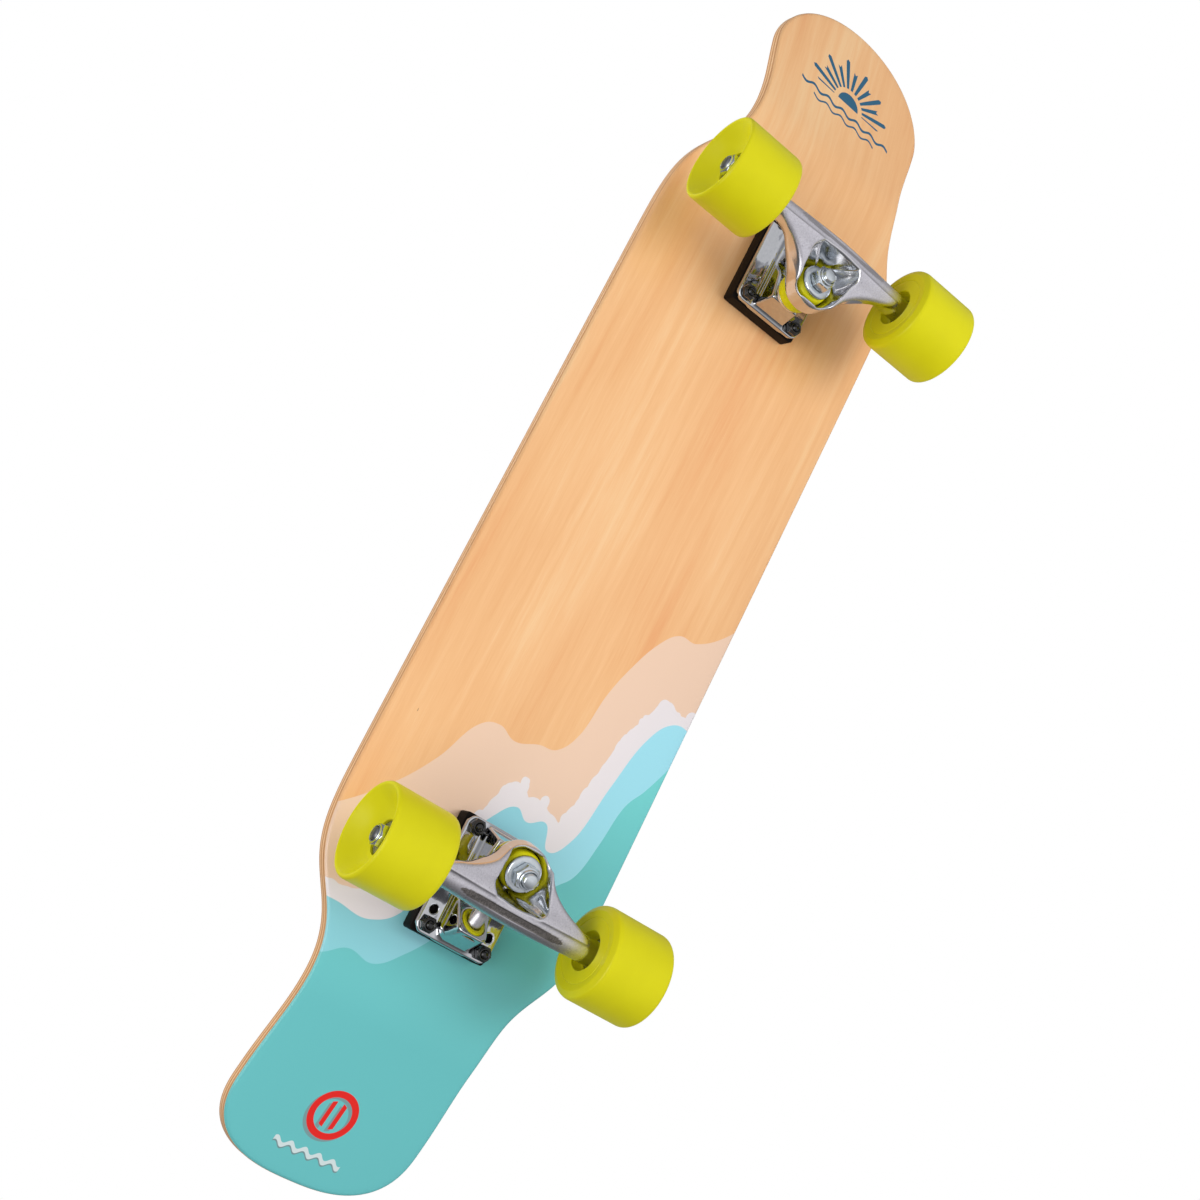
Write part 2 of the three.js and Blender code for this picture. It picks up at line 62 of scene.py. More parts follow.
# ---------------------------------------------------------------- the studio
# A pale floor that only the camera sees, from above, and that fades out; a white surround, which
# shiny pieces see dimmed above and towards the tail; and soft panels of light above, below and beside it.

bpy.context.scene.view_settings.view_transform = "Standard"

CAMERA_AT = Vector((-0.3154, -0.4944, -0.8717))
LOOKS_AT = Vector((-0.0370, -0.0075, 0.0895))
CAMERA_ROLL = math.radians(-89.42)

camera = bpy.data.objects.new("camera", bpy.data.cameras.new("camera"))
camera.data.lens = 53.1
camera.location = CAMERA_AT
turn = (LOOKS_AT - CAMERA_AT).to_track_quat("-Z", "Y") @ Quaternion((0, 0, 1), CAMERA_ROLL)
camera.rotation_euler = turn.to_euler()
bpy.context.collection.objects.link(camera)
bpy.context.scene.camera = camera


def node(tree, kind, properties=None, **inputs):
    """A new node; each input is a value or another node's output, named with _ for a space."""
    made = tree.nodes.new("ShaderNode" + kind)
    for name, value in (properties or {}).items():
        setattr(made, name, value)
    for name, value in inputs.items():
        key = int(name[1:]) if name[1:].isdigit() else name.replace("_", " ")
        socket = made.inputs[key]
        if isinstance(value, bpy.types.NodeSocket):
            tree.links.new(value, socket)
        else:
            socket.default_value = value
    return made


def linear(red, green, blue):
    """A display colour from 0 to 255 as linear light: c / 12.92 when dark, and otherwise
    ((c + 0.055) / 1.055)^2.4."""
    c = np.array([red, green, blue]) / 255
    light = np.where(c <= 0.04045, c / 12.92, ((c + 0.055) / 1.055) ** 2.4)
    return (*light.tolist(), 1.0)


def panel(name, at, towards, width, height, watts, mirrored=True):
    """A soft rectangular light that faces a point. It shows in shiny surfaces only if mirrored."""
    light = bpy.data.lights.new(name, "AREA")
    light.shape, light.size, light.size_y, light.energy = "RECTANGLE", width, height, watts
    lamp = bpy.data.objects.new(name, light)
    lamp.location = at
    lamp.rotation_euler = (Vector(towards) - Vector(at)).to_track_quat("-Z", "Y").to_euler()
    lamp.visible_glossy = mirrored
    bpy.context.collection.objects.link(lamp)


panel("under_key", (0.45, 0.75, -1.25), (0, 0, 0.09), 0.8, 0.8, 14, mirrored=False)
panel("under_fill", (-0.8, -1.1, -0.85), (0, 0, 0.09), 1.2, 1.2, 11)
panel("side_fill", (-0.2, -1.6, -0.25), (0, 0, 0.09), 1.6, 0.25, 4.2, mirrored=False)
panel("side_strip", (-0.2, -1.6, -0.25), (0, 0, 0.09), 1.6, 0.25, 1.8)
panel("over_key", (0.6, -0.9, 1.5), (0, 0, 0.05), 0.8, 0.8, 20, mirrored=False)
panel("over_fill", (-1.2, 0.9, 1.2), (0, 0, 0.05), 1.2, 1.2, 10, mirrored=False)

world = bpy.data.worlds.new("studio")
world.use_nodes = True
bpy.context.scene.world = world
sky = world.node_tree
sky.nodes.clear()
ray = node(sky, "LightPath").outputs
way = node(sky, "SeparateXYZ", Vector=node(sky, "TexCoord").outputs["Generated"]).outputs
height = node(sky, "MapRange", Value=way["Z"], From_Min=-1.0, From_Max=1.0)
walls = node(sky, "ValToRGB", Fac=height.outputs[0])
walls.color_ramp.elements[0].color = (0.95, 0.95, 0.97, 1)
walls.color_ramp.elements[1].color = (1, 1, 1, 1)
dusk = walls.color_ramp.elements.new(0.48)
dusk.color = (0.4, 0.4, 0.41, 1)
flagged = node(sky, "MapRange", Value=way["X"], From_Min=-0.8, From_Max=-0.2, To_Min=0.3, To_Max=0.9)
lidded = node(sky, "MapRange", Value=way["Z"], From_Min=0.0, From_Max=0.5, To_Min=1.0, To_Max=0.3)
dimmed = node(sky, "Math", {"operation": "MULTIPLY"}, _0=flagged.outputs[0], _1=lidded.outputs[0])
strength = node(sky, "Mix", {"data_type": "FLOAT"}, _0=ray["Is Glossy Ray"], _2=0.6, _3=dimmed.outputs[0])
ambient = node(sky, "Background", Color=walls.outputs["Color"], Strength=strength.outputs[0])
backdrop = node(sky, "Background", Color=(1, 1, 1, 1), Strength=1.0)
both = node(sky, "MixShader", _0=ray["Is Camera Ray"], _1=ambient.outputs[0], _2=backdrop.outputs[0])
sky.links.new(both.outputs[0], node(sky, "OutputWorld").inputs["Surface"])

FLOOR_HALF = 6.0  # in metres, like the distances between which it fades
FLOOR_FADES = (0.6, 1.5)
floor_mesh = bpy.data.meshes.new("floor")
corners = [(FLOOR_HALF * x, FLOOR_HALF * y, 0) for x, y in ((-1, -1), (1, -1), (1, 1), (-1, 1))]
floor_mesh.from_pydata(corners, [], [(0, 1, 2, 3)])
floor = bpy.data.objects.new("floor", floor_mesh)
bpy.context.collection.objects.link(floor)
floor.visible_shadow = floor.visible_diffuse = floor.visible_glossy = floor.visible_transmission = False
pale = bpy.data.materials.new("pale_floor")
pale.use_nodes = True
ground = pale.node_tree
ground.nodes["Principled BSDF"].inputs["Base Color"].default_value = (0.82, 0.82, 0.82, 1)
ground.nodes["Principled BSDF"].inputs["Roughness"].default_value = 0.9
below = node(ground, "NewGeometry").outputs["Backfacing"]
far_out = node(ground, "VectorMath", {"operation": "LENGTH"}, _0=node(ground, "TexCoord").outputs["Object"])
fade = node(ground, "MapRange", {"interpolation_type": "SMOOTHSTEP"}, Value=far_out.outputs["Value"])
fade.inputs["From Min"].default_value, fade.inputs["From Max"].default_value = FLOOR_FADES
hidden = node(ground, "Math", {"operation": "MAXIMUM"}, _0=below, _1=fade.outputs[0])
clear = node(ground, "BsdfTransparent").outputs[0]
matt = ground.nodes["Principled BSDF"].outputs[0]
one_way = node(ground, "MixShader", _0=hidden.outputs[0], _1=matt, _2=clear)
ground.links.new(one_way.outputs[0], ground.nodes["Material Output"].inputs["Surface"])
floor_mesh.materials.append(pale)

# ---------------------------------------------------------------- the deck
# Seven maple veneers pressed over a mould, cut out beside the wheels and bent up at both ends.
# The underside is lacquered veneer with a shore printed across the tail; the edge shows the plies.

HALF_LENGTH = 431
UNDERSIDE = 89.5
THICKNESS = 10.5
EDGE_ROUND = 2.2
FLAT_HALF_WIDTH = 24
CONCAVE_RISE = 8.1
MIDDLE_HALF_WIDTH = 98
WAIST_AT, WAIST_LENGTH = 272, 13
NOSE = {
    "neck": 65, "lobe": 68.3, "round_from": 375, "roundness": 2.0,
    "kick_from": 293, "bend": 32, "slope": 0.325,
}
TAIL = {
    "neck": 63.4, "lobe": 65.2, "round_from": 385, "roundness": 2.6,
    "kick_from": 300, "bend": 31, "slope": 0.31,
}
LOBE_FROM, LOBE_LENGTH = 330, 50
CONCAVE_FADES_FROM, CONCAVE_FADE_LENGTH, CONCAVE_FADE = 205, 85, 0.6


def end_value(x, name):
    """The nose's or the tail's value, whichever end x is nearer."""
    return np.where(x > 0, NOSE[name], TAIL[name])


def smooth(t):
    """s^2 (3 - 2 s), from 0 to 1."""
    s = np.clip(t, 0, 1)
    return s * s * (3 - 2 * s)


def deck_half_width(x):
    """A logistic S from the middle's width to the neck's, a smooth step to the lobe's, and a
    superellipse (1 - p^n)^(1/n) that rounds the end."""
    along = np.abs(x)
    neck, lobe, start, n = (end_value(x, name) for name in ("neck", "lobe", "round_from", "roundness"))
    body = 1 / (1 + np.exp((along - WAIST_AT) / WAIST_LENGTH))
    width = neck + (MIDDLE_HALF_WIDTH - neck) * body
    width = width + (lobe - neck) * smooth((along - LOBE_FROM) / LOBE_LENGTH)
    past = np.clip((along - start) / (HALF_LENGTH - start), 0, 1)
    return width * (1 - past**n) ** (1 / n)


def deck_underside(x, y):
    """The height of the underside: a parabola into a straight rise for each kick, plus a
    concave that grows with the square of the distance from the flat middle strip."""
    bend, slope, start = (end_value(x, name) for name in ("bend", "slope", "kick_from"))
    past = np.maximum(0, np.abs(x) - start)
    kick = np.where(past < bend, slope * past**2 / (2 * bend), slope * (past - bend / 2))
    out = np.maximum(0, np.abs(y) - FLAT_HALF_WIDTH) / (MIDDLE_HALF_WIDTH - FLAT_HALF_WIDTH)
    fade = 1 - CONCAVE_FADE * smooth((np.abs(x) - CONCAVE_FADES_FROM) / CONCAVE_FADE_LENGTH)
    return UNDERSIDE + kick + CONCAVE_RISE * fade * out**2


def deck_outline(count):
    """count points evenly spaced round the deck, anticlockwise from above, and their outward normals."""
    turn_angle = np.linspace(0, np.pi, 6001)
    x = HALF_LENGTH * np.cos(turn_angle)
    half = np.stack([x, deck_half_width(x)], axis=1)
    loop = np.concatenate([half, (half * [1, -1])[::-1][1:]])
    run = np.concatenate([[0], np.cumsum(np.hypot(*np.diff(loop, axis=0).T))])
    at = np.linspace(0, run[-1], count, endpoint=False)
    points = np.stack([np.interp(at, run, loop[:, k]) for k in (0, 1)], axis=1)
    ahead = np.roll(points, -1, axis=0) - np.roll(points, 1, axis=0)
    normals = np.stack([ahead[:, 1], -ahead[:, 0]], axis=1)
    return points, normals / np.linalg.norm(normals, axis=1, keepdims=True)


def grid_faces(rows, columns, close_rows=False, close_columns=False):
    """Four-cornered faces between neighbouring points of a grid that is stored row by row."""
    r = np.arange(rows if close_rows else rows - 1)[:, None]
    c = np.arange(columns if close_columns else columns - 1)[None, :]
    next_r, next_c = (r + 1) % rows, (c + 1) % columns
    corners = [r * columns + c, r * columns + next_c, next_r * columns + next_c, next_r * columns + c]
    return np.stack(corners, axis=-1).reshape(-1, 4)


def make_piece(name, points, faces, sharp=None, merge=True):
    """An object at the origin from points in millimetres: doubles merged, faces turned outwards,
    shaded smooth except at edges sharper than sharp degrees."""
    mesh = bpy.data.meshes.new(name)
    mesh.from_pydata((np.asarray(points) * MM).tolist(), [], np.asarray(faces).tolist())
    work = bmesh.new()
    work.from_mesh(mesh)
    if merge:
        bmesh.ops.remove_doubles(work, verts=work.verts, dist=2e-6)
    bmesh.ops.recalc_face_normals(work, faces=work.faces)
    work.to_mesh(mesh)
    work.free()
    mesh.shade_smooth()
    if sharp:
        mesh.set_sharp_from_angle(angle=math.radians(sharp))
    made = bpy.data.objects.new(name, mesh)
    bpy.context.collection.objects.link(made)
    return made


def sheet_body(name, inset, lift, thickness, edge_round, outline_points, across):
    """A plate that follows the deck: each section runs from the spine out along the underside, round
    the edge on two quarter circles, and back along the top; P = spine + (outline - spine) t."""
    outline, normals = deck_outline(outline_points)
    reach = HALF_LENGTH - 60
    spine = np.stack([np.clip(outline[:, 0], -reach, reach), np.zeros(outline_points)], axis=1)
    rim = outline - normals * (inset + edge_round)
    t = np.linspace(0, 1, across)[:-1, None, None] ** 0.8
    flat = spine + (rim - spine) * t
    quarter = np.linspace(0, np.pi / 2, 6)
    bulge = edge_round * np.concatenate([np.sin(quarter), np.cos(quarter)])
    low_rise, high_rise = 1 - np.cos(quarter), 1 - np.sin(quarter)
    rise = np.concatenate([edge_round * low_rise, thickness - edge_round * high_rise])
    side = rim + normals * bulge[:, None, None]
    plan = np.concatenate([flat, side, flat[::-1]])
    up = np.concatenate([np.zeros(across - 1), rise, np.full(across - 1, thickness)])
    z = deck_underside(plan[..., 0], plan[..., 1]) + lift + up[:, None]
    points = np.concatenate([plan, z[..., None]], axis=-1).reshape(-1, 3)
    return make_piece(name, points, grid_faces(len(up), outline_points, close_columns=True))


def mark(piece, name, values):
    """Keeps one number per point of the piece, for its material to read."""
    mark_data = piece.data.attributes.new(name, "FLOAT", "POINT").data
    mark_data.foreach_set("value", values.astype(np.float32))


def depth_through(piece, thickness):
    """How far each point lies through the plate, 0 below and 1 on top."""
    points = np.empty(len(piece.data.vertices) * 3, dtype=np.float32)
    piece.data.vertices.foreach_get("co", points)
    x, y, z = (points.reshape(-1, 3) / MM).T
    return (z - deck_underside(x, y)) / thickness


deck = sheet_body("deck_laminate", 0, 0, THICKNESS, EDGE_ROUND, outline_points=900, across=14)
mark(deck, "depth", depth_through(deck, THICKNESS))


class Inks:
    """Masks and colours of one material, worked out by its nodes from x, y and z in millimetres."""

    def __init__(self, name):
        self.material = bpy.data.materials.new(name)
        self.material.use_nodes = True
        self.tree = self.material.node_tree
        self.shader = self.tree.nodes["Principled BSDF"]
        place = self.node("TexCoord").outputs["Object"]
        self.place = self.node("VectorMath", {"operation": "SCALE"}, Vector=place, Scale=1 / MM).outputs[0]
        parts = self.node("SeparateXYZ", Vector=self.place)
        self.x, self.y, self.z = (parts.outputs[axis] for axis in "XYZ")

    def node(self, kind, properties=None, **inputs):
        return node(self.tree, kind, properties, **inputs)

    def math(self, operation, a, b=0.0, c=0.0):
        return self.node("Math", {"operation": operation}, _0=a, _1=b, _2=c).outputs[0]

    def add(self, a, b):
        return self.math("ADD", a, b)

    def times(self, a, b):
        return self.math("MULTIPLY", a, b)

    def attribute(self, name):
        return self.node("Attribute", {"attribute_name": name}).outputs["Fac"]

    def stretched(self, x, y, z):
        """The place, with each direction's detail this many times per millimetre."""
        return self.node("VectorMath", {"operation": "MULTIPLY"}, _0=self.place, _1=(x, y, z)).outputs[0]

    def noise(self, vector, scale=1.0, detail=2.0, roughness=0.5, distortion=0.0):
        made = self.node("TexNoise", Vector=vector, Scale=scale, Detail=detail)
        made.inputs["Roughness"].default_value = roughness
        made.inputs["Distortion"].default_value = distortion
        return made.outputs["Fac"]

    def step(self, value, start, end):
        """A smooth step from 0 at start to 1 at end."""
        made = self.node("MapRange", {"interpolation_type": "SMOOTHSTEP"}, Value=value)
        made.inputs["From Min"].default_value = start
        made.inputs["From Max"].default_value = end
        return made.outputs[0]

    def within(self, value, limit):
        """1 where the value is under the limit, with an edge 0.3 mm soft."""
        return self.step(self.math("SUBTRACT", limit, value), -0.15, 0.15)

    def mix(self, factor, a, b, blend="MIX"):
        made = self.node("Mix", {"data_type": "RGBA", "blend_type": blend}, _0=factor, _6=a, _7=b)
        return made.outputs[2]

    def between(self, factor, a, b):
        """A number from a to b."""
        return self.node("Mix", {"data_type": "FLOAT"}, _0=factor, _2=a, _3=b).outputs[0]

    def ramp(self, value, *stops):
        made = self.node("ValToRGB", Fac=value)
        elements = made.color_ramp.elements
        for k, (at, colour) in enumerate(stops):
            element = elements[k] if k < 2 else elements.new(at)
            element.position, element.color = at, colour
        return made.outputs["Color"]

    def bump(self, height, distance, strength=1.0):
        made = self.node("Bump", Height=height, Strength=strength, Distance=distance * MM)
        self.tree.links.new(made.outputs[0], self.shader.inputs["Normal"])
        return made

    def set(self, **inputs):
        for name, value in inputs.items():
            socket = self.shader.inputs[name.replace("_", " ")]
            if isinstance(value, bpy.types.NodeSocket):
                self.tree.links.new(value, socket)
            else:
                socket.default_value = value
        return self.material


def maple_veneer(inks):
    """Broad clouds, long streaks along the board, fine fibres and a few mineral flecks. Returns the
    colour, and the clouds, streaks and fibres."""
    clouds = inks.noise(inks.stretched(0.004, 0.012, 0), detail=2)
    streaks = inks.noise(inks.stretched(0.006, 0.14, 0), detail=4, roughness=0.6, distortion=0.4)
    fibres = inks.noise(inks.stretched(0.06, 1.6, 0), detail=3)
    fine = inks.add(inks.times(streaks, 0.4), inks.times(fibres, 0.15))
    veneer = inks.ramp(
        inks.add(inks.times(clouds, 0.45), fine),
        (0.36, linear(227, 162, 107)),
        (0.64, linear(238, 195, 144)),
        (0.46, linear(231, 176, 121)),
        (0.54, linear(235, 183, 129)),
    )
    fleck = inks.node("TexVoronoi", Vector=inks.stretched(0.006, 0.03, 0), Scale=1.0)
    chance = inks.node("SeparateXYZ", Vector=fleck.outputs["Color"]).outputs[0]
    rare = inks.math("LESS_THAN", chance, 0.16)
    speck = inks.times(rare, inks.math("LESS_THAN", fleck.outputs["Distance"], 0.035))
    return inks.mix(inks.times(speck, 0.75), veneer, linear(120, 70, 45)), clouds, streaks, fibres


# Each colour of the shore begins where x falls below its line. A line is a curve through points
# (y, x): its two ends, and then the points between them.
SHORE_HALF_WIDTH = 100
SHORE_FROM, SHORE_SPAN = -330, 340
SAND_LINE = (
    (-100, -228), (100, 2), (-74, -201), (-56, -174), (-42, -144), (-30, -138), (-16, -142), (0, -136),
    (14, -132), (23, -116), (27, -88), (34, -64), (46, -38), (56, -27), (72, -24),
)
FOAM_LINE = (
    (-100, -256), (100, -56), (-80, -264), (-50, -252), (-28, -212), (-14, -186), (-7, -166), (4, -160),
    (14, -167), (22, -163), (35, -170), (44, -142), (52, -104), (60, -84), (72, -64), (88, -68),
)
BLUE_LINE = (
    (-100, -276), (100, -76), (-72, -276), (-46, -276), (-30, -262), (-18, -214), (-6, -188), (6, -176),
    (16, -181), (30, -176), (38, -190), (52, -176), (60, -136), (70, -96), (82, -79),
)
TEAL_LINE = (
    (-100, -322), (100, -96), (-64, -305), (-52, -297), (-32, -298), (-16, -284), (10, -250),
    (36, -228), (56, -206), (66, -194), (72, -170), (77, -141), (87, -124),
)


def shore_print(inks, face, clouds):
    """Sand, a scalloped line of foam, shallow water and deep water, over the tail end."""

    def line_at(points):
        across = inks.node("MapRange", Value=inks.y)
        across.inputs["From Min"].default_value = -SHORE_HALF_WIDTH
        across.inputs["From Max"].default_value = SHORE_HALF_WIDTH
        curve = inks.node("FloatCurve", Value=across.outputs[0])
        knots = curve.mapping.curves[0].points
        for k, (y, x) in enumerate(points):
            at = ((y + SHORE_HALF_WIDTH) / (2 * SHORE_HALF_WIDTH), (x - SHORE_FROM) / SHORE_SPAN)
            if k < 2:
                knots[k].location = at
            else:
                knots.new(*at)
        curve.mapping.update()
        return inks.math("MULTIPLY_ADD", curve.outputs[0], SHORE_SPAN, SHORE_FROM)

    def below(line):
        return inks.step(inks.add(line, inks.times(inks.x, -1)), -0.25, 0.25)

    cells = inks.node("TexVoronoi", Vector=inks.stretched(0.125, 0.125, 0), Scale=1.0)
    froth = inks.times(inks.step(cells.outputs["Distance"], 0.75, 0.2), 6.0)
    foam_line = inks.add(line_at(FOAM_LINE), inks.add(froth, -3.0))
    sand = inks.mix(clouds, linear(228, 194, 167), linear(235, 202, 177))
    foam = inks.mix(clouds, linear(221, 213, 214), linear(236, 229, 231))
    shallow = inks.mix(inks.step(inks.y, -60, 90), linear(134, 202, 212), linear(156, 219, 233))
    deep = inks.mix(inks.step(inks.x, -230, -60), linear(101, 190, 191), linear(118, 213, 209))
    face = inks.mix(below(line_at(SAND_LINE)), face, sand)
    face = inks.mix(below(foam_line), face, foam)
    face = inks.mix(below(line_at(BLUE_LINE)), face, shallow)
    return inks.mix(below(line_at(TEAL_LINE)), face, deep)


def wavy_line(inks, at, wave_length, wave_height, half_width, half_length):
    """1 on the line x = at - height sin(2 pi y / wave length), and 0 off it."""
    swell = inks.times(inks.math("SINE", inks.times(inks.y, 2 * math.pi / wave_length)), wave_height)
    off_line = inks.math("ABSOLUTE", inks.add(inks.add(inks.x, -at), swell))
    short = inks.within(inks.math("ABSOLUTE", inks.y), half_length)
    return inks.times(inks.within(off_line, half_width), short)


SUN_X, SUN_RADIUS, RAYS_FROM, RAYS_TO, RAY_EXTRA, RAY_STEP = 366, 10, 13.5, 29, 9, 15
NOSE_WAVES = ((358, 43, 1.1), (351.5, 30, 0.8))
PETROL = linear(12, 88, 120)


def nose_print(inks, face):
    """A half sun whose tapered rays fan out, every other one longer, over two waves."""
    up_nose = inks.add(inks.x, -SUN_X)
    squares = inks.add(inks.times(up_nose, up_nose), inks.times(inks.y, inks.y))
    from_sun = inks.math("SQRT", squares)
    turned_by = inks.times(inks.math("ARCTAN2", inks.y, up_nose), 180 / math.pi)
    in_rays = inks.times(turned_by, 1 / RAY_STEP)
    off_ray = inks.math("PINGPONG", in_rays, 0.5)
    ray_width = inks.add(inks.times(from_sun, -0.0045), 0.36)
    rays = inks.step(inks.add(ray_width, inks.times(off_ray, -1)), 0.0, 0.03)
    tips = inks.add(inks.times(inks.math("PINGPONG", in_rays, 1.0), RAY_EXTRA), RAYS_TO)
    reach = inks.times(inks.step(from_sun, RAYS_FROM, RAYS_FROM + 0.5), inks.within(from_sun, tips))
    disc = inks.step(from_sun, SUN_RADIUS, SUN_RADIUS - 0.5)
    printed = inks.math("MAXIMUM", inks.times(rays, reach), disc)
    printed = inks.times(printed, inks.step(up_nose, 0.0, 0.4))
    for wave_x, half_length, half_width in NOSE_WAVES:
        wave = wavy_line(inks, wave_x, 14, 1.5, half_width, half_length)
        printed = inks.math("MAXIMUM", printed, wave)
    return inks.mix(printed, face, PETROL)


RING_X, RING_RADIUS, RING_HALF_WIDTH, TAIL_WAVE_X = -386, 13.5, 2.1, -412
BAR_STEP, BAR_HALF_WIDTH, BAR_MARGIN = 3.6, 1.5, 4.6


def ring_mark(inks, shift_x, shift_y):
    """1 on a ring round two bars, and 0 elsewhere."""
    u, v = inks.add(inks.x, -RING_X - shift_x), inks.add(inks.y, -shift_y)
    out = inks.math("SQRT", inks.add(inks.times(u, u), inks.times(v, v)))
    hoop = inks.within(inks.math("ABSOLUTE", inks.add(out, -RING_RADIUS)), RING_HALF_WIDTH)
    bars = inks.within(inks.math("PINGPONG", inks.add(v, BAR_STEP), BAR_STEP), BAR_HALF_WIDTH)
    bars = inks.times(bars, inks.within(out, RING_RADIUS - BAR_MARGIN))
    return inks.math("MAXIMUM", hoop, bars)


def tail_print(inks, face):
    """The ring in red over its grey shadow, and below it a pale wave over its own."""
    face = inks.mix(inks.times(ring_mark(inks, -1.8, -1.4), 0.8), face, linear(120, 140, 142))
    face = inks.mix(ring_mark(inks, 0, 0), face, linear(226, 22, 12))
    for shift, ink in ((-1.0, linear(112, 142, 144)), (0.0, linear(208, 222, 222))):
        face = inks.mix(wavy_line(inks, TAIL_WAVE_X + shift, 10, 1.6, 1.5, 24), face, ink)
    return face


PLIES = 7


def ply_edge(inks, depth):
    """The plies, every other one laid crossways and darker, with thin glue lines."""
    ply = inks.times(depth, PLIES)
    crossways = inks.math("MODULO", inks.math("FLOOR", ply), 2.0)
    grain = inks.noise(inks.stretched(0.05, 0.05, 2.2), detail=4, roughness=0.7)
    along_ply = inks.ramp(grain, (0.35, linear(226, 178, 126)), (0.65, linear(244, 206, 160)))
    across_ply = inks.ramp(grain, (0.35, linear(186, 128, 80)), (0.65, linear(212, 156, 104)))
    edge = inks.mix(crossways, along_ply, across_ply)
    glue = inks.math("LESS_THAN", inks.math("PINGPONG", ply, 0.5), 0.045)
    return inks.mix(inks.times(glue, 0.55), edge, linear(110, 70, 45))


def printed_maple():
    """Lacquered veneer with the three prints below, and the bare plies round the edge."""
    inks = Inks("printed_maple")
    veneer, clouds, streaks, fibres = maple_veneer(inks)
    face = tail_print(inks, nose_print(inks, shore_print(inks, veneer, clouds)))
    depth = inks.attribute("depth")
    colour = inks.mix(inks.step(depth, 0.10, 0.125), face, ply_edge(inks, depth))
    inks.bump(fibres, 0.05, 0.25)
    gloss = inks.add(inks.times(streaks, 0.12), 0.26)
    return inks.set(Base_Color=colour, Roughness=gloss, Coat_Weight=0.12, Coat_Roughness=0.1)


deck.data.materials.append(printed_maple())
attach(deck, "root")
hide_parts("deck")

# ---------------------------------------------------------------- the trucks' frames
# Each truck leans its kingpin towards the board's middle. What turns about the kingpin is shaped in
# the kingpin's frame, whose z runs up the pin to the deck and whose x is the steering axis.

joints = {joint["name"]: joint for joint in frame["record"]["behaviour"]["joints"]}


def place_of(origin, x_way, z_way):
    """A function that moves points from a local frame to the board's: origin + x X + y (Z x X) + z Z."""
    x_way, z_way = np.asarray(x_way, float), np.asarray(z_way, float)
    turn_to = np.stack([x_way, np.cross(z_way, x_way), z_way])
    return lambda points: np.asarray(points) @ turn_to + np.asarray(origin, float)


def truck_frames(end):
    """The truck's frame, on the ground below its baseplate with x towards the board's middle, and
    the kingpin's frame, in the middle of the hanger's ring."""
    low, high = (np.array(corner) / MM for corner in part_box(f"{end}_riser_pad"))
    centre = (low + high) / 2
    inward = -np.sign(centre[0])
    ring = np.array(joints[f"{end}_steer"]["pos_m"]) / MM
    across = [inward * math.cos(LEAN), 0, -math.sin(LEAN)]
    up_pin = [inward * math.sin(LEAN), 0, math.cos(LEAN)]
    return place_of([centre[0], 0, 0], [inward, 0, 0], [0, 0, 1]), place_of(ring, across, up_pin)


ENDS = ("rear", "front")
LEAN = math.radians(15)
PIVOT_RISE = math.radians(9)  # the steering axis is 24 degrees off level, 9 from square to the pin
places = {end: truck_frames(end) for end in ENDS}
AXLE_IN_TRUCK = np.array([-4.3, 0, 30])
RING_IN_TRUCK = np.array([19.67, 0, 44.55])


def turned_down(x, z, angle):
    """Side-view coordinates in axes turned by the angle, x towards the ground."""
    return x * math.cos(angle) - z * math.sin(angle), x * math.sin(angle) + z * math.cos(angle)


def to_kingpin(x, z):
    """A point of the truck frame's side view, in the kingpin frame."""
    return turned_down(x - RING_IN_TRUCK[0], z - RING_IN_TRUCK[2], LEAN)


# ---------------------------------------------------------------- the hangers
# One aluminium casting each: an axle beam, a yoke that reaches in to a ring round the kingpin, a
# polished hollow under the ring, and a round stem to the pivot. The lower side is tumbled grey, and
# the slot along the beam is painted dark as shade, more so on the rear truck.

HANGER_HALF_LENGTH = 64.75
SEAT_RADIUS, SEAT_HEIGHT = 13.2, -2.5
AXLE_X, AXLE_Z = to_kingpin(AXLE_IN_TRUCK[0], AXLE_IN_TRUCK[2])


def blend_max(a, b, k):
    """The larger of two fields, with the corner between them rounded over k."""
    near = np.maximum(k - np.abs(a - b), 0) / k
    return np.maximum(a, b) + near * near * k / 4


def blend_min(a, b, k):
    return -blend_max(-a, -b, k)


def half_plane(u, v, p, q):
    """The distance from the line p to q, positive on its right-hand side."""
    du, dv = q[0] - p[0], q[1] - p[1]
    return ((u - p[0]) * dv - (v - p[1]) * du) / math.hypot(du, dv)


def hollow_field(x, y, z):
    """The hollow under the ring, which grows out of the seat's circle with depth: at the rim, a wide
    round front, two small corner circles with straight sides to them, and a bowed back."""
    rim = -6.5 - (20.5 - x) * 0.658
    deep = smooth((SEAT_HEIGHT - 0.5 - z) / np.maximum(SEAT_HEIGHT - 0.5 - rim, 1))
    spread = np.maximum(np.abs(y) - 6.6 * deep, 0)
    front_x, corner_x, corner_y, front_radius, corner_radius = 4.4, -8.8, 8.6, 9.9, 4.4
    run = corner_x - front_x
    s = np.clip(((x - front_x) * run + spread * corner_y) / (run**2 + corner_y**2), 0, 1)
    radius = SEAT_RADIUS + deep * (front_radius + (corner_radius - front_radius) * s - SEAT_RADIUS)
    lobe = np.hypot(x - (front_x + run * s) * deep, spread - corner_y * s * deep) - radius
    back = SEAT_RADIUS * (deep - 1) - deep * (15.8 - 0.0075 * y**2) - x
    back = np.maximum(np.maximum(back, spread - corner_y * deep), x)
    return blend_max(blend_min(lobe, back, 4), z - SEAT_HEIGHT, 0.8)


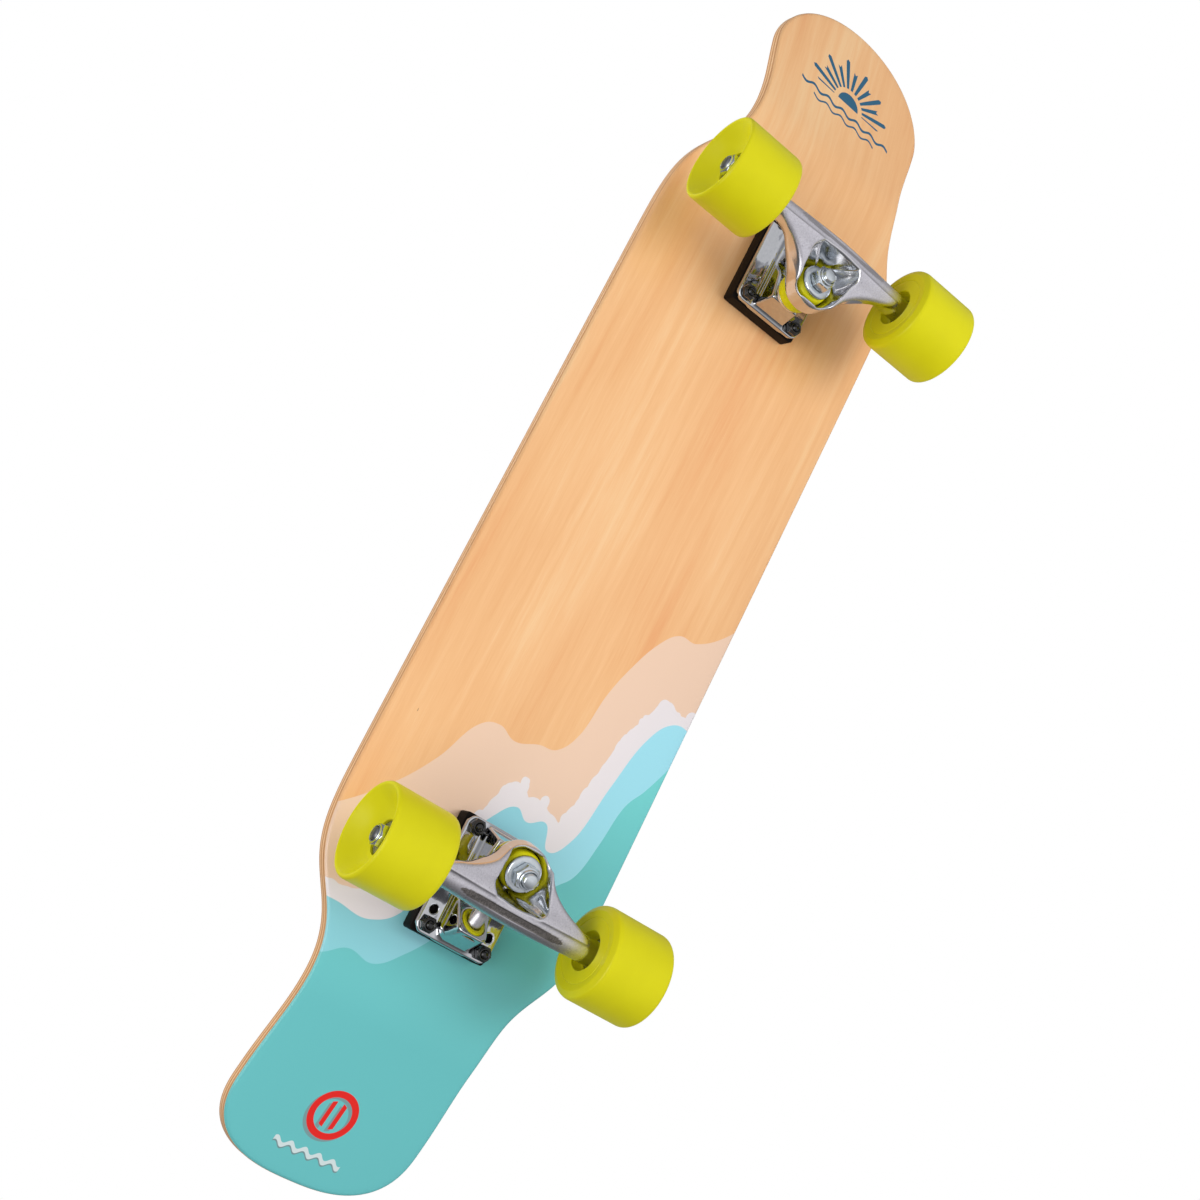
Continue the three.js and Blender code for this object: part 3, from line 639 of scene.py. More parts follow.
def hanger_field(x, y, z):
    """Beam, yoke and stem run together with fillets, less the hollow, the pin's hole and the slot."""
    side = np.abs(y)
    from_axle = np.hypot(x - AXLE_X, z - AXLE_Z)
    beam_radius = 8.2 + 1.9 * (1 - smooth(side / 60))
    beam = blend_max(from_axle - beam_radius, side - HANGER_HALF_LENGTH, 1.2)
    # The yoke's plan: a ring, and flanks that curve out to the beam.
    t = np.linspace(0, 1, 25)
    flank_x = 8.64 * (1 - t) ** 2 - 11.0 * t * (1 - t) - 10.6 * t**2
    flank_y = 16.25 * (1 - t) ** 2 + 47.6 * t * (1 - t) + 52 * t**2
    edge_x = np.interp(side, flank_y, flank_x)
    slope = np.interp(side, flank_y, np.gradient(flank_x, flank_y))
    flank = (x - edge_x) / np.sqrt(1 + slope**2)
    ring = np.hypot(x, 0.94 * y) - 16.5
    plan = blend_min(flank + 0.12 * np.clip(z + 12, 0, 15), ring, 4)
    yoke = blend_max(plan, z - 3, 3)
    yoke = blend_max(yoke, 0.607 * (z - 3) - 0.795 * (x + 11), 3)
    yoke = blend_max(yoke, 0.5496 * (x - 20.5) - 0.8354 * (z + 6.5), 2.2)
    yoke = blend_max(yoke, 0.625 * (side - 15) + 0.78 * (z - 3), 5)
    yoke = blend_max(yoke, -14.5 - x, 1)
    yoke = blend_max(yoke, side - 54, 4)
    along, above = turned_down(x, z, PIVOT_RISE)
    from_axis = np.hypot(y, above)
    tapered = from_axis - 5 - 2.6 * smooth((along + 36) / 12)
    stem = np.where(along < -42, np.hypot(along + 42, from_axis) - 5, tapered)
    stem = blend_max(stem, along + 15, 3)
    share = np.clip(((x + 18) * -5 + (z + 14) * 17) / 314, 0, 1)
    neck = np.sqrt((x + 18 + 5 * share) ** 2 + (z + 14 - 17 * share) ** 2 + y**2) - 6.5
    body = blend_min(blend_min(yoke, beam, 4), blend_min(stem, neck, 4), 6)
    body = blend_max(body, np.minimum(13.7 - np.hypot(x, y), z - 3), 0.8)
    body = blend_max(body, -hollow_field(x, y, z), 1.6)
    body = blend_max(body, 7 - np.hypot(x, y), 0.8)
    return blend_max(body, -slot_field(x, y, z), 0.5)


def slot_field(x, y, z):
    """A narrow slot along the beam's lower outer side."""
    angle = math.radians(13)
    u, w = x - AXLE_X, z - AXLE_Z
    across = u * math.cos(angle) - w * math.sin(angle)
    down = -u * math.sin(angle) - w * math.cos(angle)
    return np.maximum(np.maximum(np.abs(across) - 2.0, 9.0 - down), np.abs(y) - 60)


def cast(field, low, high, pitch):
    """The surface field(x, y, z) = 0: faces round the cells of a grid that it crosses, whose points
    are then drawn onto it along the field's slope, p - f grad f / |grad f|^2."""
    low, high = np.array(low, float), np.array(high, float)
    axes = [np.arange(a, b + pitch, pitch) for a, b in zip(low, high)]
    samples = field(*np.meshgrid(*axes, indexing="ij"))
    grid = openvdb.FloatGrid(3 * pitch)
    grid.copyFromArray(np.clip(samples, -3 * pitch, 3 * pitch).astype(np.float32))
    points, quads = grid.convertToQuads(isovalue=0.0)
    points = points.astype(float) * pitch + low
    for _ in range(3):
        steps = np.eye(3) * 0.04
        slope = np.stack([field(*(points + s).T) - field(*(points - s).T) for s in steps], axis=1) / 0.08
        fall = field(*points.T) / np.maximum((slope**2).sum(axis=1), 0.2)
        points -= np.clip(fall, -pitch, pitch)[:, None] * slope
    return points, quads


def facing(field, points):
    """The outward way at each point, from the field's slope."""
    steps = np.eye(3) * 0.3
    slope = np.stack([field(*(points + s).T) - field(*(points - s).T) for s in steps], axis=1)
    return slope / np.linalg.norm(slope, axis=1, keepdims=True)


hanger_points, hanger_faces = cast(hanger_field, (-49, -67, -34), (22, 67, 6), 0.65)
in_hollow = np.exp(-((hollow_field(*hanger_points.T) / 0.7) ** 2))
faces_up = smooth((facing(hanger_field, hanger_points)[:, 2] + 0.45) / 0.3)
hanger_bright = np.maximum(np.maximum(in_hollow, faces_up), smooth((np.abs(hanger_points[:, 1]) - 50) / 8))
# Where the slot is; the material paints shade there.
hanger_slot = (slot_field(*hanger_points.T) < 0.25).astype(float)


def tumbled_aluminium():
    inks = Inks("tumbled_aluminium")
    bright = inks.attribute("bright")
    slot = inks.attribute("slot")
    speckle = inks.noise(inks.stretched(1.1, 1.1, 1.1), detail=4, roughness=0.7)
    cloud = inks.noise(inks.stretched(0.07, 0.07, 0.07), detail=3)
    pits = inks.step(inks.noise(inks.stretched(0.5, 0.5, 0.5), detail=3), 0.36, 0.3)
    stripes = inks.noise(inks.stretched(0.3, 2.4, 1.2), detail=3, roughness=0.6)
    grey = inks.ramp(speckle, (0.3, linear(206, 203, 210)), (0.7, linear(236, 233, 240)))
    grey = inks.mix(inks.times(pits, 0.35), grey, linear(150, 147, 153))
    grey = inks.mix(bright, grey, linear(214, 214, 217))
    # Painted shade: the slot's recess is coloured dark, streaked grey, to stand in for its shadow.
    painted_slot_shade = inks.ramp(stripes, (0.35, linear(96, 92, 92)), (0.7, linear(164, 158, 155)))
    colour = inks.mix(slot, grey, painted_slot_shade)
    tumbled = inks.add(inks.times(cloud, 0.14), 0.3)
    polished = inks.add(inks.times(cloud, 0.16), 0.06)
    rough = inks.between(slot, inks.between(bright, tumbled, polished), 0.55)
    inks.bump(inks.add(speckle, inks.times(cloud, 1.5)), 0.05, 0.3)
    return inks.set(Base_Color=colour, Metallic=1.0, Roughness=rough)


aluminium = tumbled_aluminium()
# How strongly the slot's painted shade is laid on: full on the rear truck, less on the front.
SLOT_PAINTED_SHADE = {"rear": 1.0, "front": 0.4}
for end in ENDS:
    in_truck, in_kingpin = places[end]
    hanger = make_piece(f"{end}_hanger_casting", in_kingpin(hanger_points), hanger_faces, merge=False)
    mark(hanger, "bright", hanger_bright)
    mark(hanger, "slot", hanger_slot * SLOT_PAINTED_SHADE[end])
    hanger.data.materials.append(aluminium)
    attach(hanger, f"{end}_hanger")
    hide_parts(f"{end}_hanger")

# ---------------------------------------------------------------- the baseplates
# Zinc castings, polished and chromed: a flange with six holes, a sloping boss for the kingpin, and
# a tapered housing with a round nose that holds the pivot cup. Bolted up through the riser pad.

FLANGE_TOP, FLANGE_BOTTOM = 78.2, 74.2
BOLT_X, BOLT_Y, SPARE_HOLE_X = 31.75, 20.64, 22.22
CUP_MOUTH, CUP_FLOOR, CUP_BORE = -42, -49.8, 8.3
CUP_SLANT = math.radians(24)


def baseplate_field(x, y, z):
    """Flange, block, boss and housing, each an intersection of half planes with rounded corners,
    run together with fillets, less the holes."""
    side = np.abs(y)
    outline = np.hypot(np.maximum(np.abs(x) - 32, 0), np.maximum(side - 21, 0)) - 6
    flange = blend_max(outline, np.abs(z - 76.2) - 2, 1.2)
    boss_face = half_plane(x, z, (-2, 77), (11.1, 62.9))
    boss = blend_max(boss_face, half_plane(x, z, (11.1, 62.9), (30.5, 57.7)), 2)
    boss = blend_max(boss, half_plane(x, z, (30.5, 57.7), (36.8, 76)), 1.6)
    boss = blend_max(np.maximum(boss, z - 77), (side - 13.6 + (75.2 - z) * 0.16) * 0.987, 1.8)
    along, above = to_kingpin(x, z)
    pin = np.hypot(along, y) - 5.2
    along, above = turned_down(along, above, PIVOT_RISE)
    from_axis = np.hypot(y, above)
    mouth = (along - CUP_MOUTH) * math.cos(CUP_SLANT) - above * math.sin(CUP_SLANT)
    facet = half_plane(x, z, (-37, 76), (-27.1, 54.1))
    housing = blend_max(facet, (side - 12.6 + (75.2 - z) * 0.12) * 0.99, 5)
    housing = np.maximum(blend_max(housing, mouth, 1.6), z - 77)
    block = blend_max(np.maximum(np.abs(x) - 30, 70.8 - z), side - 14, 1.5)
    body = blend_min(blend_min(boss, block, 2), housing, 3)
    body = blend_min(np.maximum(body, z - 77), flange, 2.5)
    cup = np.maximum(np.maximum(from_axis - CUP_BORE, CUP_FLOOR - along), along + 20)
    holes = np.minimum(np.abs(np.abs(x) - BOLT_X), np.abs(x + SPARE_HOLE_X))
    holes = np.hypot(holes, side - BOLT_Y) - 2.8
    return blend_max(body, -np.minimum(np.minimum(pin, cup), holes), 0.7)


baseplate_points, baseplate_faces = cast(baseplate_field, (-40, -29, 51), (40, 29, 80), 0.5)


def mirror_chrome():
    inks = Inks("mirror_chrome")
    ripple = inks.noise(inks.stretched(0.13, 0.13, 0.13), detail=2)
    haze = inks.noise(inks.stretched(0.5, 0.5, 0.5), detail=4, roughness=0.7)
    scuffs = inks.noise(inks.stretched(0.25, 3.0, 0.8), detail=4, roughness=0.7)
    inks.bump(inks.add(ripple, inks.times(haze, 0.05)), 0.35, 0.35)
    rough = inks.add(inks.times(inks.step(scuffs, 0.5, 0.75), 0.12), inks.times(haze, 0.08))
    colour = inks.mix(haze, linear(184, 186, 190), linear(212, 213, 216))
    return inks.set(Base_Color=colour, Metallic=1.0, Roughness=rough)


chrome = mirror_chrome()
for end in ENDS:
    in_truck, in_kingpin = places[end]
    plate = make_piece(f"{end}_baseplate_casting", in_truck(baseplate_points), baseplate_faces, merge=False)
    plate.data.materials.append(chrome)
    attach(plate, "root")
    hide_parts(f"{end}_baseplate")

# ---------------------------------------------------------------- riser pads
# A moulded slab of hard black rubber between each baseplate and the deck, a little larger than the
# flange, with a rounded rim.

RISER_LENGTH, RISER_WIDTH, RISER_CORNER, RISER_EDGE = 77, 55, 2, 0.5
RISER_LOW, RISER_HIGH = FLANGE_TOP + 0.3, UNDERSIDE - 0.3


def rounded_rectangle(length, width, corner, steps=10):
    """Points round a rectangle with round corners, anticlockwise, and their outward ways."""
    angles = np.linspace(0, np.pi / 2, steps)[None, :] + np.arange(4)[:, None] * np.pi / 2
    ways = np.stack([np.cos(angles), np.sin(angles)], axis=-1)
    signs = np.array([[1, 1], [-1, 1], [-1, -1], [1, -1]])[:, None, :]
    centres = signs * np.array([length / 2 - corner, width / 2 - corner])
    return (centres + corner * ways).reshape(-1, 2), ways.reshape(-1, 2)


def rounded_slab(length, width, corner, low, high, edge):
    """Rings of one outline from the middle of the bottom, out round both edges on quarter circles,
    to the middle of the top."""
    outline, ways = rounded_rectangle(length, width, corner)
    quarter = np.linspace(0, np.pi / 2, 5)
    inset = edge * (1 - np.concatenate([np.sin(quarter), np.cos(quarter)]))
    height = np.concatenate([low + edge * (1 - np.cos(quarter)), high - edge * (1 - np.sin(quarter))])
    rings = outline - inset[:, None, None] * ways
    shares = np.array([0, 0.5])[:, None, None]
    rings = np.concatenate([rings[0] * shares, rings, rings[-1] * shares[::-1]])
    height = np.concatenate([[low, low], height, [high, high]])
    z = np.broadcast_to(height[:, None, None], rings.shape[:2] + (1,))
    faces = grid_faces(len(height), len(outline), close_columns=True)
    return np.concatenate([rings, z], axis=-1).reshape(-1, 3), faces


def black_rubber():
    inks = Inks("black_rubber")
    mottle = inks.noise(inks.stretched(0.2, 0.2, 0.4), detail=4)
    grain = inks.noise(inks.stretched(2.5, 2.5, 2.5), detail=3)
    colour = inks.mix(mottle, linear(8, 5, 5), linear(20, 14, 12))
    inks.bump(inks.add(grain, inks.times(mottle, 2.0)), 0.06, 0.5)
    rough = inks.add(inks.times(mottle, 0.2), 0.4)
    return inks.set(Base_Color=colour, Roughness=rough, Specular_IOR_Level=0.1)


rubber = black_rubber()
riser_points, riser_faces = rounded_slab(
    RISER_LENGTH, RISER_WIDTH, RISER_CORNER, RISER_LOW, RISER_HIGH, RISER_EDGE
)
for end in ENDS:
    in_truck, in_kingpin = places[end]
    pad = make_piece(f"{end}_riser_slab", in_truck(riser_points), riser_faces)
    pad.data.materials.append(rubber)
    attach(pad, "root")
    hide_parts(f"{end}_riser_pad")

# ---------------------------------------------------------------- kingpins, nuts and washers
# Zinc-plated steel. The kingpin comes up through the baseplate; the two cup washers hold the
# bushings, and a lock nut with a collar closes the stack on the road side.


def rounded(corners, steps=4):
    """A line through corners (u, v, reach): at each corner a curve (1-t)^2 p + 2t(1-t) c + t^2 q, whose
    ends p and q lie reach before and after it. The first and last corner stay as they are."""
    line = [np.array([corners[0][:2]], float)]
    t = np.linspace(0, 1, steps + 1)[:, None]
    for before, corner, after in zip(corners, corners[1:], corners[2:]):
        middle = np.array(corner[:2], float)
        ends = []
        for other in (before, after):
            way = np.array(other[:2], float) - middle
            length = np.linalg.norm(way)
            ends.append(middle + way * min(corner[2], 0.49 * length) / length)
        line.append((1 - t) ** 2 * ends[0] + 2 * t * (1 - t) * middle + t**2 * ends[1])
    line.append(np.array([corners[-1][:2]], float))
    return np.concatenate(line)


def turned(profile, sides=96, flats=None):
    """A profile of (radius, height) turned about z. With flats, the radius is never more than a
    hexagon's of that half width: r = min(r, a / cos(angle from the middle of a flat))."""
    angle = np.linspace(0, 2 * np.pi, sides, endpoint=False)
    radius = np.broadcast_to(profile[:, :1], (len(profile), sides))
    if flats is not None:
        from_flat = (angle + np.pi / 6) % (np.pi / 3) - np.pi / 6
        radius = np.minimum(radius, np.asarray(flats)[..., None] / np.cos(from_flat))
    height = np.broadcast_to(profile[:, 1:], (len(profile), sides))
    points = np.stack([radius * np.cos(angle), radius * np.sin(angle), height], axis=-1).reshape(-1, 3)
    return points, grid_faces(len(profile), sides, close_columns=True)


def threaded(radius, pitch, low, high, sides=48):
    """A closed rod whose surface rises and falls once a pitch along a helix:
    r = R - depth (1 - cos(2 pi z / pitch - angle)) / 2, with both ends bevelled."""
    height = np.arange(low, high + pitch / 12, pitch / 8)
    height[-1] = high
    angle = np.linspace(0, 2 * np.pi, sides, endpoint=False)
    wave = 0.5 - 0.5 * np.cos(2 * np.pi * height[:, None] / pitch - angle)
    bevel = np.minimum(height - low, high - height)[:, None]
    rows = np.minimum(radius - 0.3 * pitch * wave, radius - 0.9 + bevel * 1.2)
    rows = np.concatenate([rows[:1] * 0, rows, rows[:1] * 0])
    height = np.concatenate([[low], height, [high]])
    z = np.broadcast_to(height[:, None], rows.shape)
    points = np.stack([rows * np.cos(angle), rows * np.sin(angle), z], axis=-1).reshape(-1, 3)
    return points, grid_faces(len(height), sides, close_columns=True)


def lock_nut(flats, bore, low, high):
    """A hexagon nut with bevelled corners and, at its high end, a round collar."""
    across = flats / 2
    way = np.sign(high - low)
    tall = abs(high - low)
    corners = [
        (bore, 0, 0), (across * 0.9, 0, 0.1), (across * 0.98, 0.15, 0.1), (across * 1.16, tall * 0.08, 0.1),
        (across * 1.16, tall * 0.66, 0.1), (across * 0.96, tall * 0.76, 0.3),
        (across * 0.86, tall * 0.8, 0.3),
        (across * 0.84, tall * 0.95, 0.4), (across * 0.74, tall, 0.4), (bore + 0.5, tall, 0.2),
        (bore, tall * 0.93, 0.1), (bore, 0, 0),
    ]
    profile = rounded(corners)
    points, faces = turned(profile, 96, np.full(len(profile), across))
    points[:, 2] = low + way * points[:, 2]
    return points, faces


def plated_steel(name, tint, shine, streak):
    """Turned or pressed steel under bright zinc: fine rings of scratches and a faint cloudiness."""
    inks = Inks(name)
    cloud = inks.noise(inks.stretched(0.4, 0.4, 0.4), detail=3)
    scratch = inks.noise(inks.stretched(*streak), detail=4, roughness=0.65)
    colour = inks.mix(cloud, linear(*(0.9 * np.array(tint))), linear(*tint))
    inks.bump(scratch, 0.03, 0.4)
    rough = inks.add(inks.times(scratch, 0.16), inks.add(inks.times(cloud, 0.08), shine))
    return inks.set(Base_Color=colour, Metallic=1.0, Roughness=rough)


zinc = plated_steel("bright_zinc", (226, 233, 238), 0.07, (2.2, 2.2, 2.2))
KINGPIN_RADIUS = 4.7
kingpin_parts = {
    "kingpin_bolt": ("kingpin", threaded(KINGPIN_RADIUS, 1.3, -25, 25.6)),
    "kingpin_lock_nut": ("kingpin_nut", lock_nut(14.3, 4.9, -13.6, -22.4)),
    "road_cup_washer": (
        "road_washer",
        turned(rounded([
            (5.1, -13.3, 0), (8.0, -13.5, 0.5), (10.2, -13.2, 1.0), (11.3, -12.2, 0.8), (11.25, -10.3, 0.25),
            (10.6, -10.3, 0.25), (10.3, -11.6, 0.7), (5.1, -11.7, 0), (5.1, -13.3, 0),
        ])),
    ),
    "board_cup_washer": (
        "board_washer",
        turned(rounded([
            (5.1, 13.7, 0), (10.3, 13.6, 0.7), (10.6, 12.3, 0.25), (11.25, 12.3, 0.25), (11.3, 14.2, 0.8),
            (10.2, 15.2, 0.8), (5.1, 15.3, 0), (5.1, 13.7, 0),
        ])),
    ),
}
for end in ENDS:
    in_truck, in_kingpin = places[end]
    for name, (stands_for, (points, faces)) in kingpin_parts.items():
        part = make_piece(f"{end}_{name}", in_kingpin(points), faces, sharp=50)
        part.data.materials.append(zinc)
        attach(part, "root")
        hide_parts(f"{end}_{stands_for}")

# ---------------------------------------------------------------- bushings and pivot cups
# Cast lime urethane, slightly see-through: a tapered bushing on the road side of each hanger's ring,
# a barrel on the board side, and a thick-rimmed cup for the pivot.


def lime_urethane(name, shine, glow):
    """Cast urethane: an even lime with faint clouds, a satin skin and a little light let through."""
    inks = Inks(name)
    cloud = inks.noise(inks.stretched(0.05, 0.05, 0.05), detail=3)
    skin = inks.noise(inks.stretched(1.2, 1.2, 1.2), detail=4, roughness=0.6)
    colour = inks.mix(cloud, linear(206, 199, 4), linear(214, 208, 8))
    inks.bump(inks.add(skin, inks.times(cloud, 1.5)), 0.04, 0.25)
    rough = inks.add(inks.times(skin, 0.12), inks.add(inks.times(cloud, 0.1), shine))
    inks.set(Subsurface_Weight=glow, Subsurface_Scale=3 * MM, Specular_IOR_Level=0.3)
    inks.shader.inputs["Subsurface Radius"].default_value = (1.0, 0.9, 0.15)
    return inks.set(Base_Color=colour, Roughness=rough)


soft_lime = lime_urethane("bushing_urethane", 0.24, 0.25)
bushing_parts = {
    "road_cone_bushing": (
        "road_bushing",
        rounded([
            (5.2, -11.4, 0), (9.7, -11.4, 0.4), (10.1, -10.0, 0.5), (12.3, -7.8, 1.2), (12.7, -2.9, 0.5),
            (5.2, -2.8, 0), (5.2, -11.4, 0),
        ]),
    ),
    "board_barrel_bushing": (
        "board_bushing",
        rounded([
            (5.2, 3.3, 0), (12.0, 3.3, 0.5), (12.9, 5.2, 1.2),
            (13.0, 9, 1.8), (12.0, 11.7, 0.8), (10.1, 12.2, 0.5),
            (9.8, 13.4, 0.3), (5.2, 13.4, 0), (5.2, 3.3, 0),
        ]),
    ),
}
for end in ENDS:
    in_truck, in_kingpin = places[end]
    for name, (stands_for, profile) in bushing_parts.items():
        points, faces = turned(profile, 96)
        bushing = make_piece(f"{end}_{name}", in_kingpin(points), faces, sharp=60)
        bushing.data.materials.append(soft_lime)
        near, far = (-2.8, -11.4) if "road" in name else (3.3, 13.4)
        start, stop = (Vector(in_kingpin([0, 0, height]) * MM) for height in (far, near))
        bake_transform(bushing)
        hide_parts(f"{end}_{stands_for}")

# The cup is turned about the steering axis; its mouth is then sheared to the slant of the housing's.
pivot_profile = rounded([
    (0, 49.4, 0), (6.5, 49.4, 1.0), (8.1, 46.3, 0.8), (8.1, 41.4, 0.7), (5.7, 41.2, 0.7), (5.5, 44.0, 0.5),
    (5.4, 46.5, 1.0), (0, 47.5, 0),
])
pivot_points, pivot_faces = turned(pivot_profile, 96)
across, sideways, deep = pivot_points.T
sheared = np.clip((47 - deep) / 5, 0, 1) * across * math.tan(CUP_SLANT) - deep
pivot_x, pivot_z = turned_down(sheared, across, -PIVOT_RISE)
pivot_points = np.stack([pivot_x, sideways, pivot_z], axis=1)
for end in ENDS:
    in_truck, in_kingpin = places[end]
    cup = make_piece(f"{end}_pivot_bush", in_kingpin(pivot_points), pivot_faces, sharp=60)
    cup.data.materials.append(soft_lime)
    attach(cup, "root")
    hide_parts(f"{end}_pivot_cup")

# ---------------------------------------------------------------- mounting bolts and nuts
# Steel with a glossy black finish: countersunk bolts with hexagon sockets, flush in the grip tape,
# and small lock nuts under the baseplates with the bolts' ends just showing.

BOLT_HEAD_TOP = UNDERSIDE + THICKNESS + 1.1


def black_finish():
    inks = Inks("black_finish")
    wear = inks.noise(inks.stretched(0.6, 0.6, 0.6), detail=4, roughness=0.7)
    fine = inks.noise(inks.stretched(4, 4, 4), detail=2)
    colour = inks.mix(inks.step(wear, 0.5, 0.8), linear(8, 8, 9), linear(44, 42, 42))
    inks.bump(fine, 0.03, 0.4)
    gloss = inks.add(inks.times(wear, 0.25), 0.1)
    return inks.set(Base_Color=colour, Metallic=0.3, Roughness=gloss, Coat_Weight=0.6)


black = black_finish()
head_profile = rounded([
    (0, 96.0, 0), (2.3, 96.0, 0.1), (2.45, 97.6, 0.2),
    (4.5, BOLT_HEAD_TOP - 0.9, 0.3), (4.6, BOLT_HEAD_TOP - 0.1, 0.2),
    (4.3, BOLT_HEAD_TOP, 0.2), (1.9, BOLT_HEAD_TOP, 0.1), (1.75, BOLT_HEAD_TOP - 0.3, 0.1),
    (1.75, BOLT_HEAD_TOP - 2.2, 0.1), (0, BOLT_HEAD_TOP - 2.6, 0),
])
inside_socket = (head_profile[:, 0] < 2.0) & (head_profile[:, 1] > 98)
socket_flats = np.where(inside_socket, 1.6, 20.0)
bolt_head = turned(head_profile, 72, socket_flats)
bolt_shank = threaded(2.45, 0.8, 68.4, 96.5, 36)
bolt_points = np.concatenate([bolt_head[0], bolt_shank[0]])
bolt_faces = np.concatenate([bolt_head[1], bolt_shank[1] + len(bolt_head[0])])
nut_points, nut_faces = lock_nut(9.4, 2.6, FLANGE_BOTTOM - 0.3, FLANGE_BOTTOM - 5.1)
for end in ENDS:
    for which in ("inner_left", "inner_right", "outer_left", "outer_right"):
        low, high = (np.array(corner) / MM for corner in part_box(f"{end}_bolt_{which}"))
        middle = (low + high) / 2 * [1, 1, 0]
        for name, points, faces in (("bolt", bolt_points, bolt_faces), ("bolt_nut", nut_points, nut_faces)):
            part = make_piece(f"{end}_{name}_{which}_turned", points + middle, faces, sharp=40)
            part.data.materials.append(black)
            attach(part, "root")
            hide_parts(f"{end}_{name}_{which}")

# ---------------------------------------------------------------- grip tape
# A black sheet glued to the top, faced with silicon carbide grit, punched for the bolt heads.

GRIP_LIFT, GRIP_THICKNESS, GRIP_INSET = 0.5, 0.9, 1.8
grip = sheet_body("grip_sheet", GRIP_INSET, THICKNESS + GRIP_LIFT, GRIP_THICKNESS, 0.25, 700, 16)


def punch_holes(piece, radius, nodes):
    """Cuts a round hole straight through the piece at each of those CAD nodes' middles."""
    ring_profile = np.array([(0, 90.0), (radius, 90.0), (radius, 110.0), (0, 110.0)])
    points, faces = turned(ring_profile, 40)
    every_point, every_face = [], []
    for k, name in enumerate(nodes):
        low, high = (np.array(corner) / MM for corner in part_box(name))
        every_point.append(points + (low + high) / 2 * [1, 1, 0])
        every_face.append(faces + k * len(points))
    cutter = make_piece("punch", np.concatenate(every_point), np.concatenate(every_face))
    cut = piece.modifiers.new("punch", "BOOLEAN")
    cut.operation, cut.object, cut.solver = "DIFFERENCE", cutter, "EXACT"
    shape = piece.evaluated_get(bpy.context.evaluated_depsgraph_get())
    mesh = bpy.data.meshes.new_from_object(shape)
    piece.modifiers.clear()
    piece.data = mesh
    bpy.data.objects.remove(cutter)


bolt_nodes = [name for name in frame["nodes"] if "_bolt_" in name and "nut" not in name]
punch_holes(grip, 5.0, bolt_nodes)


def grit():
    inks = Inks("grit")
    grains = inks.node("TexVoronoi", Vector=inks.stretched(2.6, 2.6, 2.6), Scale=1.0)
    shade = inks.node("SeparateXYZ", Vector=grains.outputs["Color"]).outputs[0]
    dust = inks.noise(inks.stretched(0.01, 0.02, 0.01), detail=5, roughness=0.65)
    colour = inks.ramp(shade, (0.0, linear(17, 17, 18)), (1.0, linear(60, 60, 62)), (0.8, linear(32, 32, 33)))
    colour = inks.mix(inks.times(inks.step(dust, 0.45, 0.75), 0.25), colour, linear(78, 76, 74))
    inks.bump(grains.outputs["Distance"], -0.35, 1.0)
    return inks.set(Base_Color=colour, Roughness=inks.add(inks.times(shade, -0.35), 0.85))


grip.data.materials.append(grit())
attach(grip, "root")
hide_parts("grip_tape")

# ---------------------------------------------------------------- wheels
# Cast lime urethane, 60 by 45 mm: outside a deep dish with a round lip, inside a flat face with a
# bevelled rim and a wide hole for the hanger's end; a seat for a bearing in each side.

WHEEL_CENTRE_Y = 80
wheel_profile = rounded([
    (12.7, -14.4, 0), (12.7, -21.9, 0.6), (20.7, -22.1, 0.1), (21.0, -21.85, 0.1), (21.3, -22.15, 0.1),
    (25.6, -22.5, 0.5), (29.3, -20.6, 0.8), (30.0, -18.2, 0.8), (30.0, 21.0, 1.1), (29.1, 22.4, 0.7),
    (27.6, 22.4, 0.9), (24.6, 19.6, 2.2), (19.0, 14.0, 4.0), (14.0, 11.6, 2.0), (11.1, 11.3, 0.4),
    (11.1, 2.8, 0.3), (9.5, 2.8, 0.3), (9.5, -6.8, 0.3), (11.1, -6.8, 0.3), (11.1, -14.2, 0.2),
    (12.7, -14.4, 0),
], 6)
wheel_shape = turned(wheel_profile, 160)
wheel_lime = lime_urethane("wheel_urethane", 0.26, 0.12)


def add_part(name, body, place, shape, material, stands_for=None, sharp=50):
    """One piece, placed, finished and fixed to its body."""
    points, faces = shape
    part = make_piece(name, place(points), faces, sharp=sharp)
    part.data.materials.append(material)
    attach(part, body)
    if stands_for:
        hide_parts(stands_for)
    return part


def out_from(end, way, distance):
    """Places a shape on a truck's axle, that far out on one side and facing outward."""
    in_truck, in_kingpin = places[end]
    middle = in_truck(AXLE_IN_TRUCK)
    return place_of(middle + np.array([0, way * distance, 0]), [1, 0, 0], [0, way, 0])


SIDES = {"left": 1, "right": -1}
for end in ENDS:
    for side, way in SIDES.items():
        wheel_body = f"{end}_{side}_wheel"
        add_part(f"{wheel_body}_cast", wheel_body, out_from(end, way, WHEEL_CENTRE_Y), wheel_shape,
                 wheel_lime, wheel_body, sharp=None)

# ---------------------------------------------------------------- ball bearings and axle nuts
# Bearings of ground steel, 22 mm by 8 mm by 7 mm: the outer ring and its pressed shields turn with
# the wheel, and the inner ring stays on the axle between two thin speed washers. A zinc-plated lock
# nut holds each wheel on. The spacer between its bearings keeps the shape it came with.

ring_profile = rounded([
    (6.35, -3.0, 0), (9.2, -3.05, 0.2), (9.35, -3.3, 0.1), (9.6, -3.3, 0.1), (9.7, -3.5, 0.1),
    (11.0, -3.5, 0.4),
    (11.0, 3.5, 0.4), (9.7, 3.5, 0.1), (9.6, 3.3, 0.1), (9.35, 3.3, 0.1), (9.2, 3.05, 0.2),
    (6.35, 3.0, 0), (6.35, -3.0, 0),
])
race_profile = rounded(
    [(4.15, -3.5, 0), (6.15, -3.5, 0.3), (6.15, 3.5, 0.3), (4.15, 3.5, 0), (4.15, -3.5, 0)]
)
washer_profile = rounded(
    [(4.15, -0.4, 0), (6.0, -0.4, 0.2), (6.0, 0.4, 0.2), (4.15, 0.4, 0), (4.15, -0.4, 0)]
)
bearing_ring, bearing_race, speed_washer = (
    turned(profile, 96) for profile in (ring_profile, race_profile, washer_profile)
)
